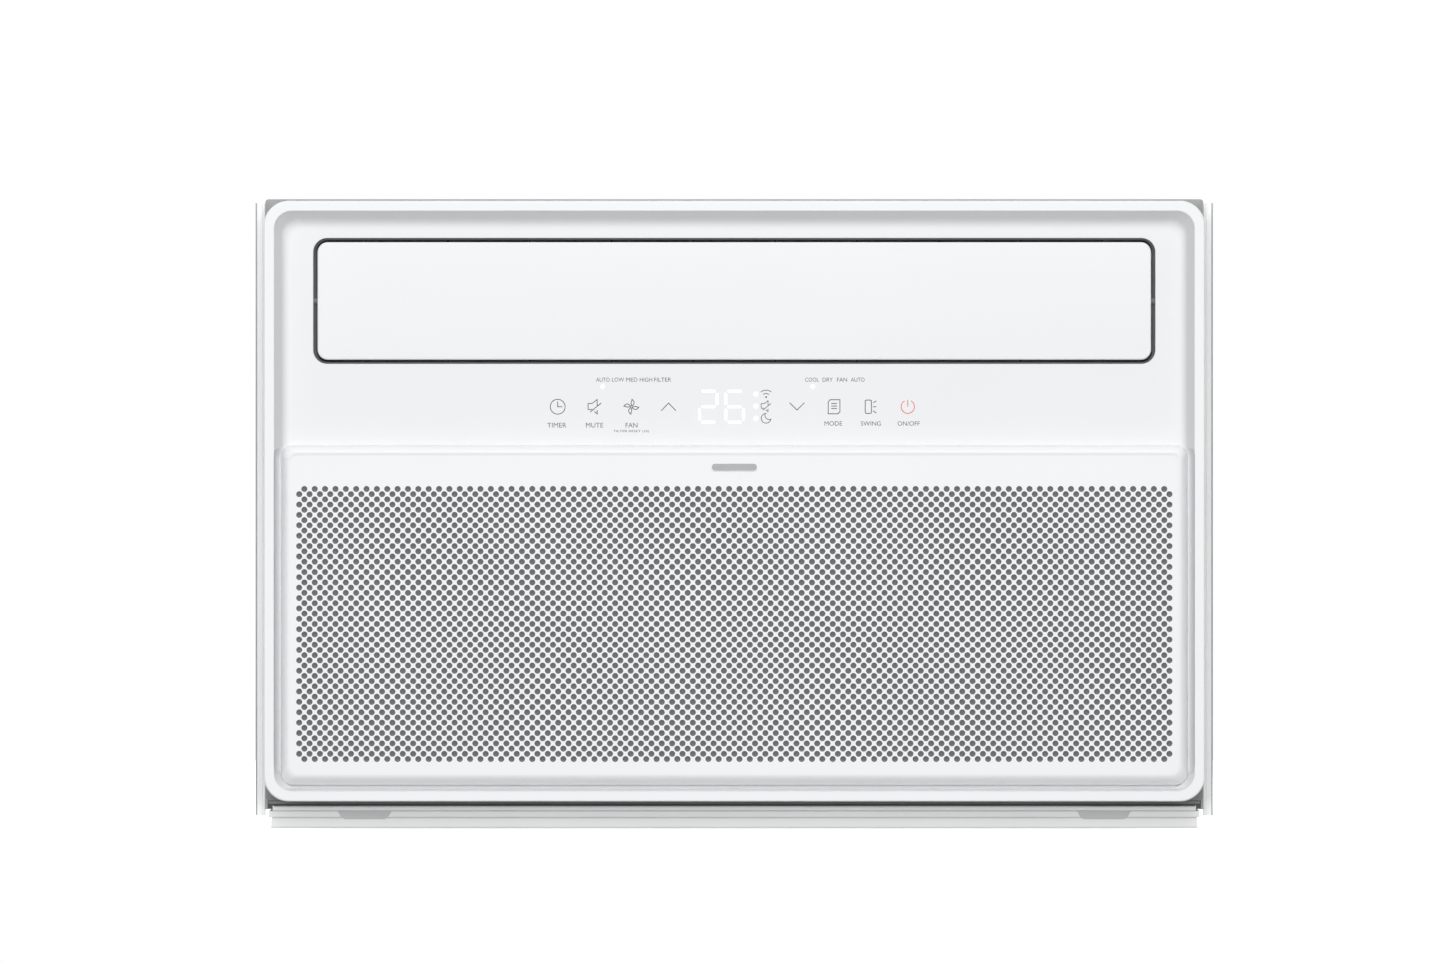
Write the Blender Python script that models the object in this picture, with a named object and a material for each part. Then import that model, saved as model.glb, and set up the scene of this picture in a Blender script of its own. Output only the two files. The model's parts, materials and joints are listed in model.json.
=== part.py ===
"""Window air conditioner: a moulded room-side front on a sheet-metal cabinet, with its cooling set inside.

Metres, +Z up.  The front faces -Y, +X is to the right seen from the front, and the origin is
under the middle of the base.
"""

import math

import bmesh
import bpy
from mathutils import Vector

GAP = 0.0003                      # between pieces that touch

# Overall
FRONT_Y = -0.340                  # plane of the bezel's flat rim
REAR_Y = 0.340
CABINET_HALF = 0.3297
CABINET_TOP = 0.441
CABINET_BOTTOM = 0.0127
CABINET_FRONT = -0.262
CABINET_REAR = 0.334
SHEET = 0.0015

# Bezel
BEZEL_HALF = 0.330
BEZEL_BOTTOM = 0.0188
BEZEL_TOP = 0.4403
BEZEL_RADIUS = 0.0175
RIM = 0.0073
FIELD_DEPTH = 0.009               # field behind the rim plane
POCKET_DEPTH = 0.011              # floor of the grille's pocket behind the rim plane
WALL = 0.0025

# Outlet, flap and vanes
OUTLET_HALF = 0.2953
OUTLET_LOW = 0.3259
OUTLET_HIGH = 0.4141
FLAP_GAP = 0.0028
FLAP_AXIS = Vector((0.0, FRONT_Y + 0.018, 0.370))
DUCT_WALL = 0.003
VANE_COUNT = 10
VANE_PITCH = 0.0575
VANE_AXIS_Y = -0.262
VANE_HALF_CHORD = 0.014

# Intake grille
GRILLE_HALF = 0.3177
GRILLE_LOW = 0.0305
GRILLE_HIGH = 0.2686
POCKET_GAP = 0.0010               # between the grille's edge and its pocket
GRILLE_AXIS = Vector((0.0, FRONT_Y + 0.007, GRILLE_LOW + 0.002))

# Base pan
PAN_FLOOR = 0.002
PAN_STEPS = ((0.0, 0.3256), (0.0073, 0.3275), (0.0117, 0.3247))
PAN_TOP = 0.0148

# Where the supply cord comes out of the cabinet's right side
GLAND = Vector((CABINET_HALF, -0.190, 0.100))

# Air mover, on one shaft along Y
SHAFT_X = -0.020
SHAFT_Z = 0.175
SHAFT_RADIUS = 0.005
WHEEL_RADIUS = 0.108
FAN_RADIUS = 0.145

# Cooling set
COMPRESSOR = Vector((0.195, 0.040, 0.0))
ACCUMULATOR = Vector((0.287, 0.040, 0.0))

FINISHES = {
    "white_plastic": ((0.91, 0.915, 0.92), 0.38, 0.0),
    "grey_sheet": ((0.42, 0.425, 0.43), 0.45, 0.6),
    "pale_sheet": ((0.68, 0.685, 0.69), 0.42, 0.2),
    "dark_plastic": ((0.035, 0.036, 0.038), 0.5, 0.0),
    "grey_plastic": ((0.22, 0.225, 0.23), 0.5, 0.0),
    "foam": ((0.80, 0.81, 0.82), 0.9, 0.0),
    "filter_net": ((0.17, 0.17, 0.175), 0.8, 0.0),
    "badge_metal": ((0.36, 0.36, 0.38), 0.3, 0.9),
    "fin_aluminium": ((0.72, 0.73, 0.74), 0.35, 1.0),
    "copper": ((0.72, 0.36, 0.22), 0.3, 1.0),
    "steel": ((0.58, 0.58, 0.59), 0.35, 1.0),
    "black_steel": ((0.02, 0.02, 0.022), 0.4, 0.5),
    "rubber": ((0.02, 0.02, 0.02), 0.85, 0.0),
    "circuit_green": ((0.03, 0.16, 0.07), 0.5, 0.0),
}


# ---------------------------------------------------------------- shape tools

def clear_scene():
    for item in list(bpy.data.objects):
        bpy.data.objects.remove(item, do_unlink=True)


def finish_material(kind):
    material = bpy.data.materials.get(kind)
    if material is None:
        colour, roughness, metallic = FINISHES[kind]
        material = bpy.data.materials.new(kind)
        material.use_nodes = True
        shader = material.node_tree.nodes["Principled BSDF"]
        shader.inputs["Base Color"].default_value = (*colour, 1.0)
        shader.inputs["Roughness"].default_value = roughness
        shader.inputs["Metallic"].default_value = metallic
        material.diffuse_color = (*colour, 1.0)
    return material


def place(name, bm, kind, origin=(0.0, 0.0, 0.0), smooth=False):
    """Make an object from a mesh in world coordinates, with its origin where it turns."""
    bmesh.ops.recalc_face_normals(bm, faces=bm.faces)
    origin = Vector(origin)
    bmesh.ops.translate(bm, verts=bm.verts, vec=-origin)
    mesh = bpy.data.meshes.new(name)
    bm.to_mesh(mesh)
    bm.free()
    if smooth:
        mesh.shade_smooth()
        mesh.set_sharp_from_angle(angle=math.radians(35))
    mesh.materials.append(finish_material(kind))
    item = bpy.data.objects.new(name, mesh)
    item.location = origin
    bpy.context.scene.collection.objects.link(item)
    return item


def loft_mesh(rings, closed=False, thin=False):
    """Skin rings of points, one after another; end rings are capped unless the loft closes.

    A thin ring runs out along one face and back along the other, and its cap is a row of quads.
    """
    bm = bmesh.new()
    rows = [[bm.verts.new(point) for point in ring] for ring in rings]
    pairs = list(zip(rows, rows[1:]))
    if closed:
        pairs.append((rows[-1], rows[0]))
    for near, far in pairs:
        for index in range(len(near)):
            after = (index + 1) % len(near)
            bm.faces.new((near[index], near[after], far[after], far[index]))
    for row in () if closed else (rows[0], rows[-1]):
        if not thin:
            bm.faces.new(row)
            continue
        for index in range(len(row) // 2 - 1):
            bm.faces.new((row[index], row[index + 1], row[-2 - index], row[-1 - index]))
    return bm


def loft(name, rings, kind, closed=False, origin=(0.0, 0.0, 0.0), smooth=False, thin=False):
    return place(name, loft_mesh(rings, closed, thin), kind, origin, smooth)


def block(name, low, high, kind, origin=(0.0, 0.0, 0.0)):
    rings = [[(x, y, z) for x, y in ((low[0], low[1]), (high[0], low[1]), (high[0], high[1]),
                                     (low[0], high[1]))]
             for z in (low[2], high[2])]
    return loft(name, rings, kind, origin=origin)


def rounded_rect(half, low, high, radius, steps=6):
    """Outline in X and Z, the same to the left and right, with round corners."""
    corners = ((half - radius, low + radius, -90), (half - radius, high - radius, 0),
               (radius - half, high - radius, 90), (radius - half, low + radius, 180))
    outline = []
    for x, z, start in corners:
        for step in range(steps + 1):
            angle = math.radians(start + 90 * step / steps)
            outline.append((x + radius * math.cos(angle), z + radius * math.sin(angle)))
    return outline


def at_depth(outline, y):
    return [(x, y, z) for x, z in outline]


def slab(name, outline, front, back, kind, origin=(0.0, 0.0, 0.0), smooth=False):
    """An outline in X and Z, extruded along Y."""
    return loft(name, [at_depth(outline, front), at_depth(outline, back)], kind, origin=origin,
                smooth=smooth)


def turned(name, profile, centre, axis, kind, sides=20, closed=False, origin=None):
    """A profile of (radius, distance along the axis) turned about the axis through centre."""
    across = {"X": (Vector((0, 1, 0)), Vector((0, 0, 1)), Vector((1, 0, 0))),
              "Y": (Vector((0, 0, 1)), Vector((1, 0, 0)), Vector((0, 1, 0))),
              "Z": (Vector((1, 0, 0)), Vector((0, 1, 0)), Vector((0, 0, 1)))}[axis]
    first, second, along = across
    centre = Vector(centre)
    rings = []
    for radius, distance in profile:
        rings.append([centre + along * distance
                      + first * radius * math.cos(math.tau * i / sides)
                      + second * radius * math.sin(math.tau * i / sides) for i in range(sides)])
    return loft(name, rings, kind, closed, centre if origin is None else origin, smooth=True)


def boolean(target, tools, operation="DIFFERENCE"):
    """Cut tools from a target, or join them to it; the tools stay as hidden guides."""
    for tool in tools:
        tool.name = f"tool_{tool.name}"
        tool.hide_render = True
        tool.display_type = "WIRE"
        modifier = target.modifiers.new(operation.title(), "BOOLEAN")
        modifier.operation = operation
        modifier.object = tool
    return target


def pipe(name, corners, radius, kind, bend=0.018, sides_resolution=1, arc_steps=4):
    """A tube along straight runs whose corners are rounded to the bend radius."""
    corners = [Vector(corner) for corner in corners]
    route = [corners[0]]
    for before, corner, after in zip(corners, corners[1:], corners[2:]):
        reach = min(bend, (corner - before).length / 2.2, (after - corner).length / 2.2)
        start = corner + (before - corner).normalized() * reach
        end = corner + (after - corner).normalized() * reach
        for step in range(arc_steps + 1):
            t = step / arc_steps
            route.append(start * (1 - t) ** 2 + corner * 2 * t * (1 - t) + end * t ** 2)
    route.append(corners[-1])
    curve = bpy.data.curves.new(name, "CURVE")
    curve.dimensions = "3D"
    curve.bevel_depth = radius
    curve.bevel_resolution = sides_resolution
    curve.use_fill_caps = True
    spline = curve.splines.new("POLY")
    spline.points.add(len(route) - 1)
    for point, spot in zip(spline.points, route):
        point.co = (*spot, 1.0)
    curve.materials.append(finish_material(kind))
    item = bpy.data.objects.new(name, curve)
    bpy.context.scene.collection.objects.link(item)
    return item


# ---------------------------------------------------------------- front

def make_bezel():
    """Rim, field and grille pocket cut into one rounded block that is hollow from behind."""
    edge = 0.002
    bezel = loft("front_bezel", [
        at_depth(rounded_rect(BEZEL_HALF - 0.001, BEZEL_BOTTOM + 0.001, BEZEL_TOP - 0.001, BEZEL_RADIUS),
                 CABINET_FRONT - GAP),
        at_depth(rounded_rect(BEZEL_HALF, BEZEL_BOTTOM, BEZEL_TOP, BEZEL_RADIUS), CABINET_FRONT - 0.020),
        at_depth(rounded_rect(BEZEL_HALF, BEZEL_BOTTOM, BEZEL_TOP, BEZEL_RADIUS), FRONT_Y + edge),
        at_depth(rounded_rect(BEZEL_HALF - 0.3 * edge, BEZEL_BOTTOM + 0.3 * edge, BEZEL_TOP - 0.3 * edge,
                              BEZEL_RADIUS), FRONT_Y + 0.3 * edge),
        at_depth(rounded_rect(BEZEL_HALF - edge, BEZEL_BOTTOM + edge, BEZEL_TOP - edge,
                              BEZEL_RADIUS - 0.001), FRONT_Y),
    ], "white_plastic", smooth=True)

    rim_half = BEZEL_HALF - RIM
    rim_low = BEZEL_BOTTOM + RIM
    rim_top = BEZEL_TOP - RIM
    slope = ((-0.0004, -0.001), (0.0, 0.0005), (0.0046, 0.0072), (0.0064, 0.0083), (0.0088, 0.0088),
             (0.0116, FIELD_DEPTH))
    field = loft("field_recess", [
        at_depth(rounded_rect(rim_half - inset, rim_low + 0.35 * inset, rim_top - inset, 0.0126),
                 FRONT_Y + depth)
        for inset, depth in slope], "white_plastic")
    pocket = slab("grille_pocket", rounded_rect(GRILLE_HALF + POCKET_GAP, rim_low + 0.0016,
                                                GRILLE_HIGH + POCKET_GAP,
                                                0.009), FRONT_Y - 0.001, FRONT_Y + POCKET_DEPTH,
                  "white_plastic")
    hollow = slab("hollow", rounded_rect(BEZEL_HALF - WALL, BEZEL_BOTTOM + WALL, BEZEL_TOP - WALL,
                                         0.015, 3),
                  FRONT_Y + POCKET_DEPTH + WALL, 0.0, "white_plastic")
    outlet = slab("outlet_cut", rounded_rect(OUTLET_HALF, OUTLET_LOW, OUTLET_HIGH, 0.0098),
                  FRONT_Y - 0.01, 0.0, "white_plastic")
    intake = slab("intake_cut", rounded_rect(0.308, 0.040, 0.258, 0.006, 2),
                  FRONT_Y - 0.01, 0.0, "white_plastic")
    pivots = turned("grille_pivot_holes", [(0.0023, -0.3255), (0.0023, 0.3255)], GRILLE_AXIS, "X",
                    "white_plastic", sides=12)
    return boolean(bezel, [field, pocket, hollow, outlet, intake, pivots])


def make_grille():
    """Raised panel with rolled edges; the perforated area is a shallow flat behind its face."""
    rolls = ((0.0, 0.0085), (0.0, 0.0052), (0.0006, 0.0032), (0.0022, 0.0018), (0.0045, 0.0011),
             (0.0068, 0.0009))
    face = [at_depth(rounded_rect(GRILLE_HALF - inset, GRILLE_LOW + inset, GRILLE_HIGH - inset,
                                  max(0.0078 - 0.6 * inset, 0.003), 5), FRONT_Y + depth)
            for inset, depth in rolls]
    panel = loft("intake_grille", face, "white_plastic", origin=GRILLE_AXIS, smooth=True)
    back = slab("grille_back", rounded_rect(GRILLE_HALF - 0.004, GRILLE_LOW + 0.005,
                                            GRILLE_HIGH - 0.004, 0.004, 2),
                FRONT_Y + 0.0034, FRONT_Y + 0.02, "white_plastic")
    return boolean(panel, [back])


def make_grille_fittings():
    for side, sign in (("left", -1), ("right", 1)):
        turned(f"grille_pivot_{side}", [(0.0012, sign * (GRILLE_HALF + GAP)),
                                        (0.0020, sign * (GRILLE_HALF + 0.0009)),
                                        (0.0020, sign * 0.3242), (0.0012, sign * 0.3250)],
               GRILLE_AXIS, "X", "grey_plastic", sides=10)
        centre = sign * 0.200
        outline = ((0.0, 0.2490), (0.0, 0.2545), (0.0125, 0.2545), (0.0125, 0.2570), (0.0150, 0.2570),
                   (0.0165, 0.2540), (0.0165, 0.2520), (0.0025, 0.2520), (0.0025, 0.2490))
        front = FRONT_Y + 0.0034 + GAP
        rings = [[(centre + reach, front + y, z) for y, z in outline] for reach in (-0.008, 0.008)]
        loft(f"grille_latch_{side}", rings, "white_plastic", origin=GRILLE_AXIS)
    slab("badge", rounded_rect(0.0158, 0.2512, 0.2558, 0.0022, 3), FRONT_Y + 0.0001, FRONT_Y + 0.0009 - GAP,
         "badge_metal", origin=GRILLE_AXIS)


def make_filter():
    """A moulded frame with cross bars, and the net that lies against its back."""
    front = FRONT_Y + 0.0145
    half = 0.304
    low = 0.0445
    high = 0.2425
    frame = slab("filter_frame", rounded_rect(half, low, high, 0.005, 2), front, front + 0.006,
                 "dark_plastic",
                 origin=GRILLE_AXIS)
    columns = 6
    pitch = 2 * (half - 0.006) / columns
    windows = []
    for index in range(columns):
        left = -half + 0.006 + index * pitch
        windows.append(block(f"filter_window_{index}", (left + 0.0015, front - 0.01, low + 0.007),
                             (left + pitch - 0.0015, front + 0.02, high - 0.007), "dark_plastic"))
    boolean(frame, windows)
    slab("filter_mesh", rounded_rect(half - 0.002, low + 0.002, high - 0.002, 0.003, 2),
         front + 0.006 + GAP, front + 0.0072, "filter_net", origin=GRILLE_AXIS)


# ---------------------------------------------------------------- outlet

def make_flap():
    half = OUTLET_HALF - FLAP_GAP
    low = OUTLET_LOW + FLAP_GAP
    high = OUTLET_HIGH - FLAP_GAP
    field = FRONT_Y + FIELD_DEPTH
    rings = [at_depth(rounded_rect(half - inset, low + inset, high - inset, 0.0073 - inset, 5),
                      field + depth)
             for inset, depth in ((0.0012, 0.0002), (0.0004, 0.0006), (0.0, 0.0014), (0.0, 0.0050),
                                  (0.0020, 0.0056))]
    flap = loft("outlet_flap", rings, "white_plastic", origin=FLAP_AXIS, smooth=True)
    lugs = []
    for side, sign in (("left", -1), ("right", 1)):
        outline = ((field + 0.004, -0.012), (FLAP_AXIS.y, -0.0055), (FLAP_AXIS.y + 0.0045, -0.003),
                   (FLAP_AXIS.y + 0.0045, 0.003), (FLAP_AXIS.y, 0.0055), (field + 0.004, 0.012))
        edges = sorted((sign * (half - 0.0005), sign * (half - 0.0035)))
        rings = [[(x, y, FLAP_AXIS.z + z) for y, z in outline] for x in edges]
        lugs.append(loft(f"flap_lug_{side}", rings, "white_plastic"))
        turned(f"flap_pin_{side}", [(0.0018, sign * (half - 0.0005 + GAP)),
                                    (0.0022, sign * (half + 0.0002)),
                                    (0.0022, sign * (OUTLET_HALF + 0.0040)),
                                    (0.0016, sign * (OUTLET_HALF + 0.0045))],
               FLAP_AXIS, "X", "grey_plastic", sides=10)
    return boolean(flap, lugs, "UNION")


def vane_outline():
    """Blade in Y and Z about its pivot line, with a tang at each end and one in the link's notch."""
    floor = OUTLET_LOW - 0.001
    roof = OUTLET_HIGH + 0.001
    low = floor + 0.002
    high = roof - 0.002
    tang = 0.0011
    notch_low = 0.340
    notch_high = 0.346
    rear = VANE_HALF_CHORD
    return ((-tang, low), (-tang, floor - 0.002), (tang, floor - 0.002), (tang, low), (rear, low),
            (rear, notch_low), (rear - 0.0004, notch_low), (rear - 0.0004, notch_high - 0.0012),
            (rear - 0.0024, notch_high - 0.0012), (rear - 0.0024, notch_low), (rear - 0.0062, notch_low),
            (rear - 0.0062, notch_high), (rear, notch_high), (rear, high), (tang, high),
            (tang, roof + 0.002),
            (-tang, roof + 0.002), (-tang, high), (-rear, high), (-rear, low))


def vane_places():
    first = -VANE_PITCH * (VANE_COUNT - 1) / 2
    return [first + VANE_PITCH * index for index in range(VANE_COUNT)]


def make_outlet_duct():
    floor = OUTLET_LOW - 0.001
    roof = OUTLET_HIGH + 0.001
    half = OUTLET_HALF + 0.0007
    front = FRONT_Y + POCKET_DEPTH + WALL + GAP
    back = -0.2060
    duct = slab("outlet_duct", rounded_rect(half + DUCT_WALL, floor - DUCT_WALL, roof + DUCT_WALL,
                                            0.004, 2),
                front, back, "foam")
    bore = slab("duct_bore", rounded_rect(half, floor, roof, 0.003, 2), front - 0.01, back + 0.01, "foam")
    pins = turned("flap_pin_holes", [(0.0026, -0.32), (0.0026, 0.32)], FLAP_AXIS, "X", "foam", sides=10)
    tools = [bore, pins]
    for index, x in enumerate(vane_places()):
        tools.append(turned(f"vane_hole_{index}", [(0.0017, 0.30), (0.0017, 0.43)],
                            (x, VANE_AXIS_Y, 0.0), "Z",
                            "foam", sides=8))
    boolean(duct, tools)


def make_vanes():
    half_thickness = 0.0007
    pin_y = VANE_AXIS_Y + VANE_HALF_CHORD - 0.0014
    holes = []
    for index, x in enumerate(vane_places()):
        pivot = Vector((x, VANE_AXIS_Y, FLAP_AXIS.z))
        rings = [[(x + reach, VANE_AXIS_Y + y, z) for y, z in vane_outline()]
                 for reach in (-half_thickness, half_thickness)]
        loft(f"air_vane_{index + 1:02d}", rings, "dark_plastic", origin=pivot)
        holes.append(turned(f"link_hole_{index}", [(0.0018, 0.33), (0.0018, 0.35)], (x, pin_y, 0.0), "Z",
                            "dark_plastic", sides=8))
    reach = vane_places()[-1] + 0.006
    link = block("vane_link_bar", (-reach, pin_y - 0.0028, 0.3405), (reach, pin_y + 0.0028, 0.3435),
                 "dark_plastic",
                 origin=(vane_places()[0], pin_y, 0.342))
    boolean(link, holes)


def make_motors():
    """Two small step motors: one outside the duct's right end, one under its floor."""
    turned("flap_motor", [(0.013, 0.0), (0.014, 0.001), (0.014, 0.015), (0.013, 0.016)],
           (OUTLET_HALF + 0.0052, FLAP_AXIS.y + 0.012, FLAP_AXIS.z), "X", "steel", sides=16)
    turned("vane_motor", [(0.013, 0.0), (0.014, 0.001), (0.014, 0.015), (0.013, 0.016)],
           (vane_places()[-1], VANE_AXIS_Y + 0.008, OUTLET_LOW - 0.0225), "Z", "steel", sides=16)


def make_controls():
    """The board with its lamps and touch pads stands behind the field, below the outlet."""
    behind = FRONT_Y + POCKET_DEPTH + WALL + GAP
    block("control_board", (-0.150, behind, 0.275), (0.150, behind + 0.0016, 0.3205), "circuit_green")


# ---------------------------------------------------------------- casing

def make_cabinet():
    """Inverted U of sheet with round top corners and rows of louvre slots near the rear."""
    radius = 0.0022
    outer = rounded_rect(CABINET_HALF, CABINET_BOTTOM - 0.02, CABINET_TOP, radius, 4)
    inner = rounded_rect(CABINET_HALF - SHEET, CABINET_BOTTOM - 0.05, CABINET_TOP - SHEET,
                         radius - SHEET, 2)
    cabinet = slab("cabinet", outer, CABINET_FRONT, CABINET_REAR, "grey_sheet", smooth=True)
    tools = [slab("cabinet_inside", inner, CABINET_FRONT - 0.01, CABINET_REAR + 0.01, "grey_sheet"),
             block("cabinet_foot_trim", (-0.5, -0.5, -0.2), (0.5, 0.5, CABINET_BOTTOM), "grey_sheet"),
             turned("gland_hole", [(0.0088, -0.01), (0.0088, 0.01)], GLAND, "X", "grey_sheet", sides=16)]
    rows = 9
    slot_pitch = 0.028
    for row in range(rows):
        for column, start in enumerate((0.060, 0.190)):
            z = 0.120 + row * slot_pitch
            tools.append(block(f"side_louvre_{row}_{column}", (-0.5, start, z),
                               (0.5, start + 0.105, z + 0.010),
                               "grey_sheet"))
    for column in range(7):
        x = -0.249 + column * 0.083
        for row in range(4):
            y = 0.120 + row * 0.030
            tools.append(block(f"top_louvre_{column}_{row}", (x - 0.034, y, 0.40),
                               (x + 0.034, y + 0.010, 0.5),
                               "grey_sheet"))
    boolean(cabinet, tools)


def make_rear_guard():
    front = CABINET_REAR + GAP
    guard = slab("rear_guard", rounded_rect(CABINET_HALF, CABINET_BOTTOM + 0.003, CABINET_TOP, 0.004, 3),
                 front, REAR_Y, "grey_sheet")
    rows = 13
    tools = []
    for row in range(rows):
        z = 0.030 + row * 0.0305
        for column, (left, right) in enumerate(((-0.315, -0.110), (-0.100, 0.100), (0.110, 0.315))):
            tools.append(block(f"guard_slot_{row}_{column}", (left, front - 0.01, z),
                               (right, REAR_Y + 0.01, z + 0.0235),
                               "grey_sheet"))
    boolean(guard, tools)


def make_base():
    """A stepped tray: three bands of slightly different width, open at the top."""
    rings = []
    bottoms = [level for level, _ in PAN_STEPS] + [PAN_TOP]
    front = CABINET_FRONT
    for (level, half), top in zip(PAN_STEPS, bottoms[1:]):
        step = PAN_STEPS[1][1] - half
        for z in (level, top):
            rings.append([(-half, front + step, z), (half, front + step, z),
                          (half, CABINET_REAR - step, z), (-half, CABINET_REAR - step, z)])
    pan = loft("base_pan", rings, "pale_sheet")
    inside = block("pan_inside", (-0.3225, front + 0.006, PAN_FLOOR),
                   (0.3225, CABINET_REAR - 0.006, 0.05), "pale_sheet")
    drain = turned("drain_hole", [(0.0083, -0.01), (0.0083, 0.02)], (-0.250, 0.310, 0.0), "Z",
                   "pale_sheet", sides=14)
    boolean(pan, [inside, drain])
    for side, sign in (("left", -1), ("right", 1)):
        centre = sign * 0.260
        outline = ((-0.019, 0.0116), (-0.0165, 0.0074), (-0.0140, 0.0058), (0.0140, 0.0058),
                   (0.0165, 0.0074),
                   (0.019, 0.0116))
        back = front - GAP
        slab(f"front_tab_{side}", [(centre + x, z) for x, z in outline], back - 0.0015, back, "pale_sheet")
    turned("drain_plug", [(0.0080, 0.0005), (0.0080, 0.0022), (0.0110, 0.0023), (0.0110, 0.0050),
                          (0.0060, 0.0060)],
           (-0.250, 0.310, 0.0), "Z", "rubber", sides=14)


def make_side_channels():
    """Upright C sections on the cabinet's sides; the open side takes a window curtain."""
    inner = CABINET_HALF + GAP
    outer = 0.3357
    depth = 0.020
    front = -0.246
    skin = 0.0012
    outline = ((inner, 0.0), (outer, 0.0), (outer, skin), (inner + skin, skin),
               (inner + skin, depth - skin),
               (outer, depth - skin), (outer, depth), (inner, depth))
    for side, sign in (("left", -1), ("right", 1)):
        rings = [[(sign * x, front + y, z) for x, y in outline] for z in (0.0082, 0.4393)]
        loft(f"side_channel_{side}", rings, "white_plastic")


def make_cord_gland():
    """Rubber ring in the cabinet's right side, where a supply cord comes out behind the channel."""
    flange = GAP
    turned("cord_gland", [(0.0045, -0.005), (0.0085, -0.005), (0.0085, flange), (0.0120, flange),
                          (0.0120, 0.0025), (0.0100, 0.0042), (0.0045, 0.0042)],
           GLAND, "X", "rubber", sides=16, closed=True)


# ---------------------------------------------------------------- room side of the inside

def make_drip_tray():
    tray = block("drip_tray", (-0.312, -0.2555, PAN_FLOOR + GAP), (0.250, -0.2060, 0.026), "foam")
    basin = block("tray_basin", (-0.306, -0.253, 0.012), (0.244, -0.2110, 0.05), "foam")
    boolean(tray, [basin])


def make_evaporator():
    low = 0.0265
    high = 0.316
    front = -0.2480
    back = -0.2140
    coil = block("evaporator_coil", (-0.300, front, low + 0.004), (0.234, back, high - 0.002),
                 "fin_aluminium")
    plates = [block(f"evaporator_plate_{index}", (x, front - 0.001, low - 0.0140),
                    (x + SHEET, back + 0.001, high),
                    "steel") for index, x in enumerate((-0.3010, 0.2335))]
    boolean(coil, plates, "UNION")


def housing_outline(inset):
    """Spiral round the wheel, then up a neck into the wide box behind the outlet duct."""
    start_radius = 0.118
    growth = 0.072
    neck = 0.0204
    base = 0.322
    start = math.acos((neck - SHAFT_X + inset) / (start_radius - inset))
    steps = 20
    outline = []
    for step in range(steps + 1):
        angle = start + (math.tau - start) * step / steps
        radius = start_radius + growth * step / steps - inset
        outline.append((SHAFT_X + radius * math.cos(angle), SHAFT_Z + radius * math.sin(angle)))
    side = 0.299 - inset
    outline += [(outline[-1][0], base + inset), (side, base + inset), (side, 0.418 - inset),
                (-side, 0.418 - inset), (-side, base + inset), (neck + inset, base + inset)]
    return outline


def make_blower():
    front = -0.2060 + GAP
    back = -0.1120
    wall = 0.003
    housing = slab("blower_housing", housing_outline(0.0), front, back, "grey_plastic")
    cavity = slab("housing_cavity", housing_outline(wall), front + wall, back - wall, "grey_plastic")
    window = slab("housing_window", rounded_rect(0.295, 0.3260, 0.4140, 0.003, 2), front - 0.01,
                  front + 0.01,
                  "grey_plastic")
    mouth = turned("housing_mouth", [(0.098, -0.25), (0.098, -0.198)], (SHAFT_X, 0.0, SHAFT_Z), "Y",
                   "grey_plastic", sides=28)
    shaft_hole = turned("housing_shaft_hole", [(0.010, -0.13), (0.010, -0.10)], (SHAFT_X, 0.0, SHAFT_Z),
                        "Y",
                        "grey_plastic", sides=12)
    boolean(housing, [cavity, window, mouth, shaft_hole])
    turned("inlet_ring", [(0.0977, front - GAP), (0.1060, front - GAP), (0.1060, front - 0.003),
                          (0.0960, front - 0.003),
                          (0.0880, front + 0.003), (0.0880, front + 0.006), (0.0910, front + 0.006),
                          (0.0950, front + 0.0005)],
           (SHAFT_X, 0.0, SHAFT_Z), "Y", "grey_plastic", sides=28, closed=True)


def make_blower_wheel():
    """Forward-curved wheel: a hub and back plate, a front ring, and blades between them."""
    front = -0.1960
    back = -0.1220
    centre = Vector((SHAFT_X, 0.0, SHAFT_Z))
    inner = WHEEL_RADIUS - 0.018
    plate = turned("blower_wheel", [(SHAFT_RADIUS + GAP, back - 0.030), (0.014, back - 0.030),
                                    (0.016, back - 0.003),
                                    (WHEEL_RADIUS, back - 0.003), (WHEEL_RADIUS, back),
                                    (SHAFT_RADIUS + GAP, back)],
                   centre, "Y", "dark_plastic", sides=30, closed=True)
    ring = turned("wheel_ring", [(inner + 0.002, front), (WHEEL_RADIUS, front),
                                 (WHEEL_RADIUS, front + 0.003),
                                 (inner + 0.002, front + 0.003)], centre, "Y", "dark_plastic", sides=30,
                  closed=True)
    tools = [ring]
    blades = 30
    for index in range(blades):
        turn = math.tau * index / blades
        sides = []
        for half in (-0.0008, 0.0008):
            edge = []
            for radius, lead in ((inner + 0.003, 0.0), (inner + 0.011, 0.045),
                                 (WHEEL_RADIUS - 0.001, 0.16)):
                angle = turn + lead
                edge.append((SHAFT_X + radius * math.cos(angle) - half * math.sin(angle),
                             SHAFT_Z + radius * math.sin(angle) + half * math.cos(angle)))
            sides.append(edge)
        outline = sides[0] + sides[1][::-1]
        tools.append(slab(f"wheel_blade_{index}", outline, front + 0.001, back - 0.001, "dark_plastic"))
    boolean(plate, tools, "UNION")


# ---------------------------------------------------------------- outdoor side of the inside

def make_bulkhead():
    front = -0.1000
    bulkhead = block("bulkhead", (-0.3165, front, PAN_FLOOR + GAP), (0.3165, front + SHEET, 0.4385),
                     "steel")
    hole = turned("bulkhead_shaft_hole", [(0.014, -0.12), (0.014, -0.08)], (SHAFT_X, 0.0, SHAFT_Z), "Y",
                  "steel",
                  sides=12)
    notch = block("bulkhead_tube_notch", (0.274, front - 0.01, 0.055), (0.300, front + 0.01, 0.085),
                  "steel")
    boolean(bulkhead, [hole, notch])


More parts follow.
